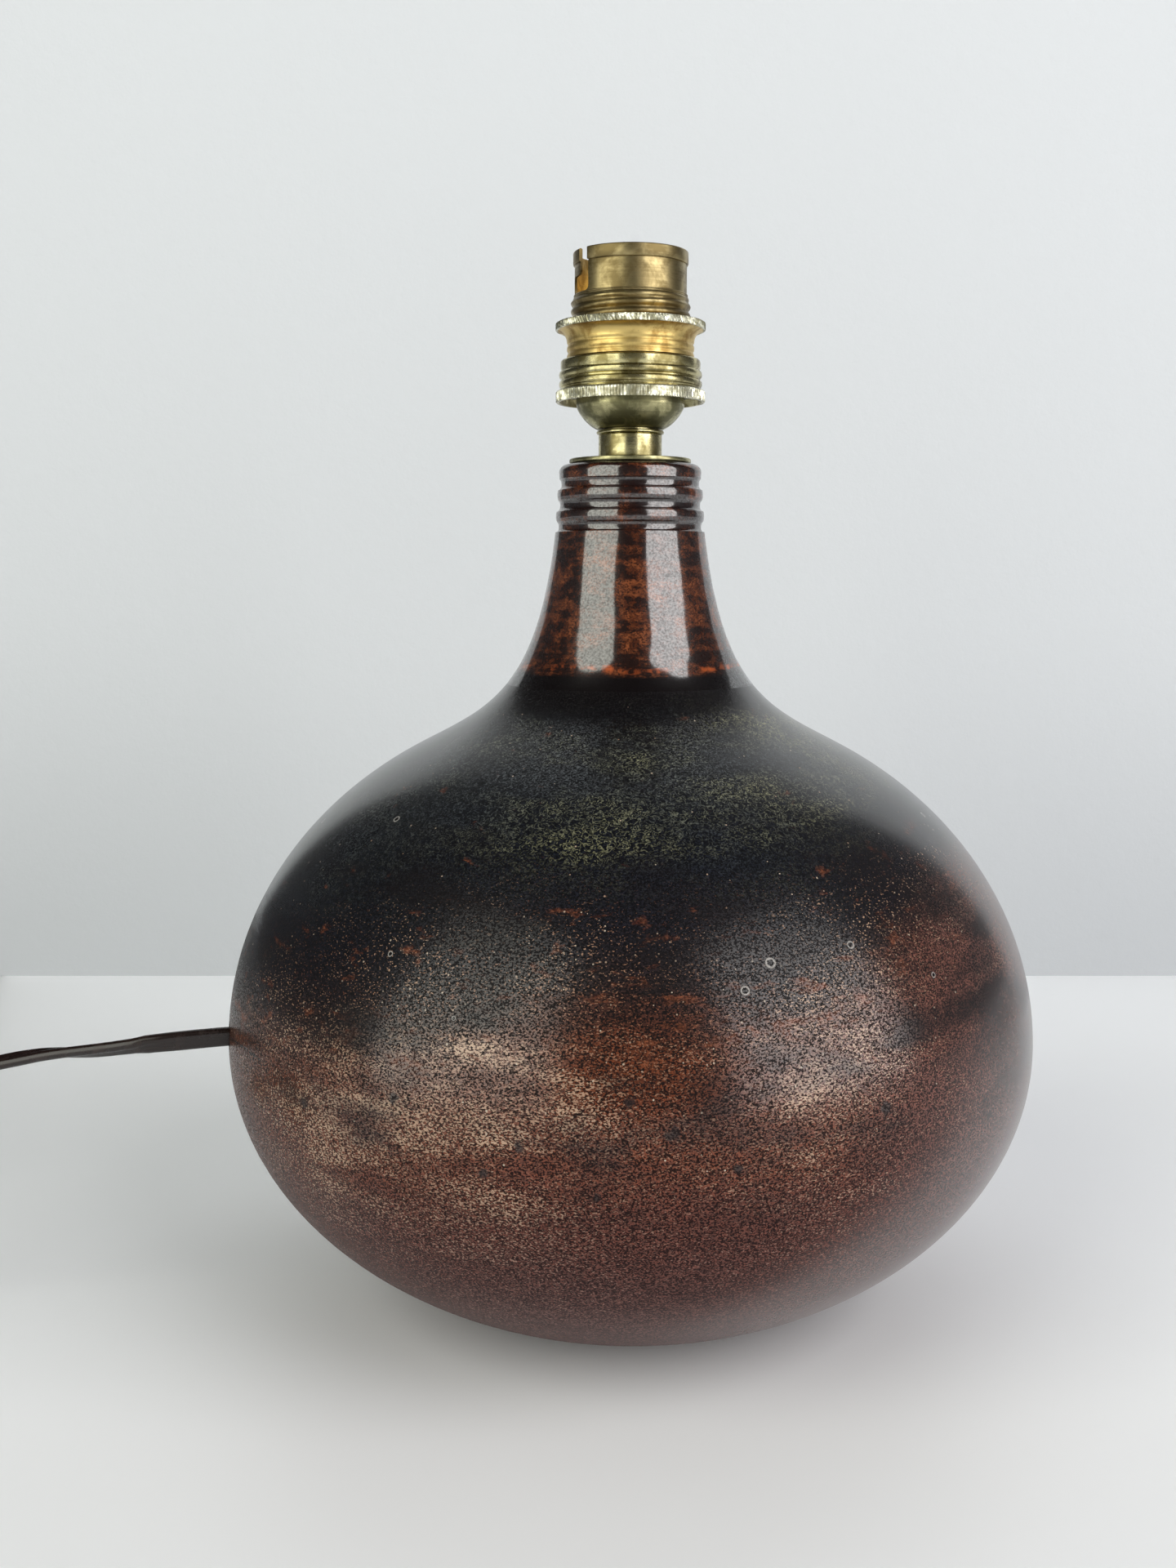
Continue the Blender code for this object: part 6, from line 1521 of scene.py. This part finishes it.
def makeStage():
    s = stageSet
    table, tree, shader, place = newMaterial("tableTop")
    # paler where the camera or a reflection sees it than where it lights the lamp
    rays = addNode(tree, "ShaderNodeLightPath").outputs
    seen = sums(tree, "MAXIMUM", rays["Is Camera Ray"], rays["Is Glossy Ray"])
    haze = stretch(tree, grain(tree, place, 6.0, 3.0, 0.5), 0.35, 0.65)
    pale = blend(tree, haze, paint(*s["tableSeen"]), paint(*[c - 3 for c in s["tableSeen"]]))
    tree.links.new(blend(tree, seen, paint(*s["table"]), pale), shader.inputs["Base Color"])
    shader.inputs["Roughness"].default_value = 0.45
    shader.inputs["Specular IOR Level"].default_value = 0.3
    wall, wallTree, wallShader, wallPlace = newMaterial("wallPlaster")
    rough = grain(wallTree, wallPlace, 220.0, 5.0, 0.6)
    cloud = grain(wallTree, wallPlace, 3.0, 2.0, 0.5)
    # painted shade: the wall is darker towards its foot, where it meets the table
    foot = addNode(wallTree, "ShaderNodeSeparateXYZ", {0: wallPlace}).outputs[2]
    foot = stretch(wallTree, foot, 0.0, 0.16, 1.0, 0.0, smooth=True)
    plaster = blend(wallTree, cloud, paint(*s["wall"]), paint(*[c - 4 for c in s["wall"]]))
    plaster = blend(wallTree, foot, plaster, paint(*[c - 12 for c in s["wall"]]))
    wallTree.links.new(plaster, wallShader.inputs["Base Color"])
    wallShader.inputs["Roughness"].default_value = 0.9
    addBump(wallTree, wallShader, rough, 0.35, 0.6)
    clear = addNode(wallTree, "ShaderNodeBsdfTransparent")
    # seen through from behind; its far ends show to the camera alone, and light nothing
    facing = addNode(wallTree, "ShaderNodeNewGeometry").outputs["Backfacing"]
    aside = addNode(wallTree, "ShaderNodeSeparateXYZ", {0: wallPlace}).outputs[0]
    unlit = sums(
        wallTree, "MAXIMUM", sums(wallTree, "LESS_THAN", aside, s["litLeft"]),
        sums(wallTree, "GREATER_THAN", aside, s["litRight"]),
    )
    seen = addNode(wallTree, "ShaderNodeLightPath").outputs["Is Camera Ray"]
    unlit = sums(wallTree, "MULTIPLY", unlit, sums(wallTree, "SUBTRACT", 1.0, seen))
    gone = sums(wallTree, "MAXIMUM", facing, unlit)
    mixed = addNode(wallTree, "ShaderNodeMixShader", {0: gone, 1: wallShader.outputs[0], 2: clear.outputs[0]})
    wallTree.links.new(mixed.outputs[0], wallTree.nodes["Material Output"].inputs["Surface"])
    r = s["reach"]
    flatSheet("tableTop", [(-r, -r, 0), (r, -r, 0), (r, r, 0), (-r, r, 0)], table)
    y = s["wallAt"]
    flatSheet("wall", [(-r, y, 0), (r, y, 0), (r, y, r), (-r, y, r)], wall)

# a tall soft window that stands beside the camera, as bright as glow all over
def makePanel(name, turn, wide, glow, tint):
    s = stageSet
    data = bpy.data.lights.new(name, "AREA")
    data.shape = "RECTANGLE"
    data.size = wide
    data.size_y = s["panelTall"]
    data.energy = glow * math.pi * wide * s["panelTall"]
    data.color = tint
    panel = bpy.data.objects.new(name, data)
    angle = math.radians(turn)
    spot = Vector((-math.sin(angle), -math.cos(angle), 0)) * s["panelFar"]
    panel.location = (spot.x, spot.y, s["panelTall"] / 2)
    panel.rotation_euler = (-spot).to_track_quat("-Z", "Y").to_euler()
    panel.visible_camera = False
    scene.collection.objects.link(panel)

# a faint even light from above, which shows in no reflection
def makeCeiling():
    s = stageSet
    data = bpy.data.lights.new("ceilingLight", "AREA")
    data.size = s["ceilingWide"]
    data.energy = s["ceilingGlow"] * math.pi * s["ceilingWide"] ** 2
    ceiling = bpy.data.objects.new("ceilingLight", data)
    ceiling.location = (0, -0.5, s["ceilingHigh"])
    ceiling.visible_camera = False
    ceiling.visible_glossy = False
    scene.collection.objects.link(ceiling)

# the dim room beyond the windows, a dome that only shows in reflections and light
def makeRoom():
    s = stageSet
    shape = bmesh.new()
    bmesh.ops.create_uvsphere(shape, u_segments=32, v_segments=16, radius=s["roomFar"])
    bmesh.ops.bisect_plane(
        shape, geom=shape.verts[:] + shape.edges[:] + shape.faces[:], plane_co=(0, 0, -0.01),
        plane_no=(0, 0, 1), clear_inner=True,
    )
    bmesh.ops.reverse_faces(shape, faces=shape.faces)
    material, tree, shader, place = newMaterial("dimRoom")
    axes = addNode(tree, "ShaderNodeSeparateXYZ", {0: place}).outputs
    far = s["roomFar"]
    level = steps(
        tree, sums(tree, "DIVIDE", axes[2], far), [(0.0, 0.10), (0.35, 0.06), (0.7, 0.02), (1.0, 0.02)],
    )
    aside = stretch(tree, sums(tree, "ABSOLUTE", axes[0]), 0.45 * far, 0.95 * far, 0.34, 1.2, smooth=True)
    glow = addNode(tree, "ShaderNodeEmission", {
        "Color": (0.92, 0.96, 1.0, 1), "Strength": sums(tree, "MULTIPLY", level, aside),
    })
    tree.links.new(glow.outputs[0], tree.nodes["Material Output"].inputs["Surface"])
    tree.nodes.remove(shader)
    room = makePiece("dimRoom", shape, material)
    room.visible_camera = False

def makeWorld():
    world = bpy.data.worlds.new("paleSky")
    scene.world = world
    world.use_nodes = True
    back = world.node_tree.nodes["Background"]
    back.inputs["Color"].default_value = (*stageSet["sky"], 1)

makeStage()
for side in ("left", "right"):
    makePanel(
        side + "Window", stageSet[side + "Turn"], stageSet[side + "Wide"], stageSet[side + "Glow"],
        stageSet[side + "Tint"],
    )
makeCeiling()
makeRoom()
makeWorld()
scene.view_settings.view_transform = "Standard"
print("stage and light made")

bpy.context.view_layer.update()
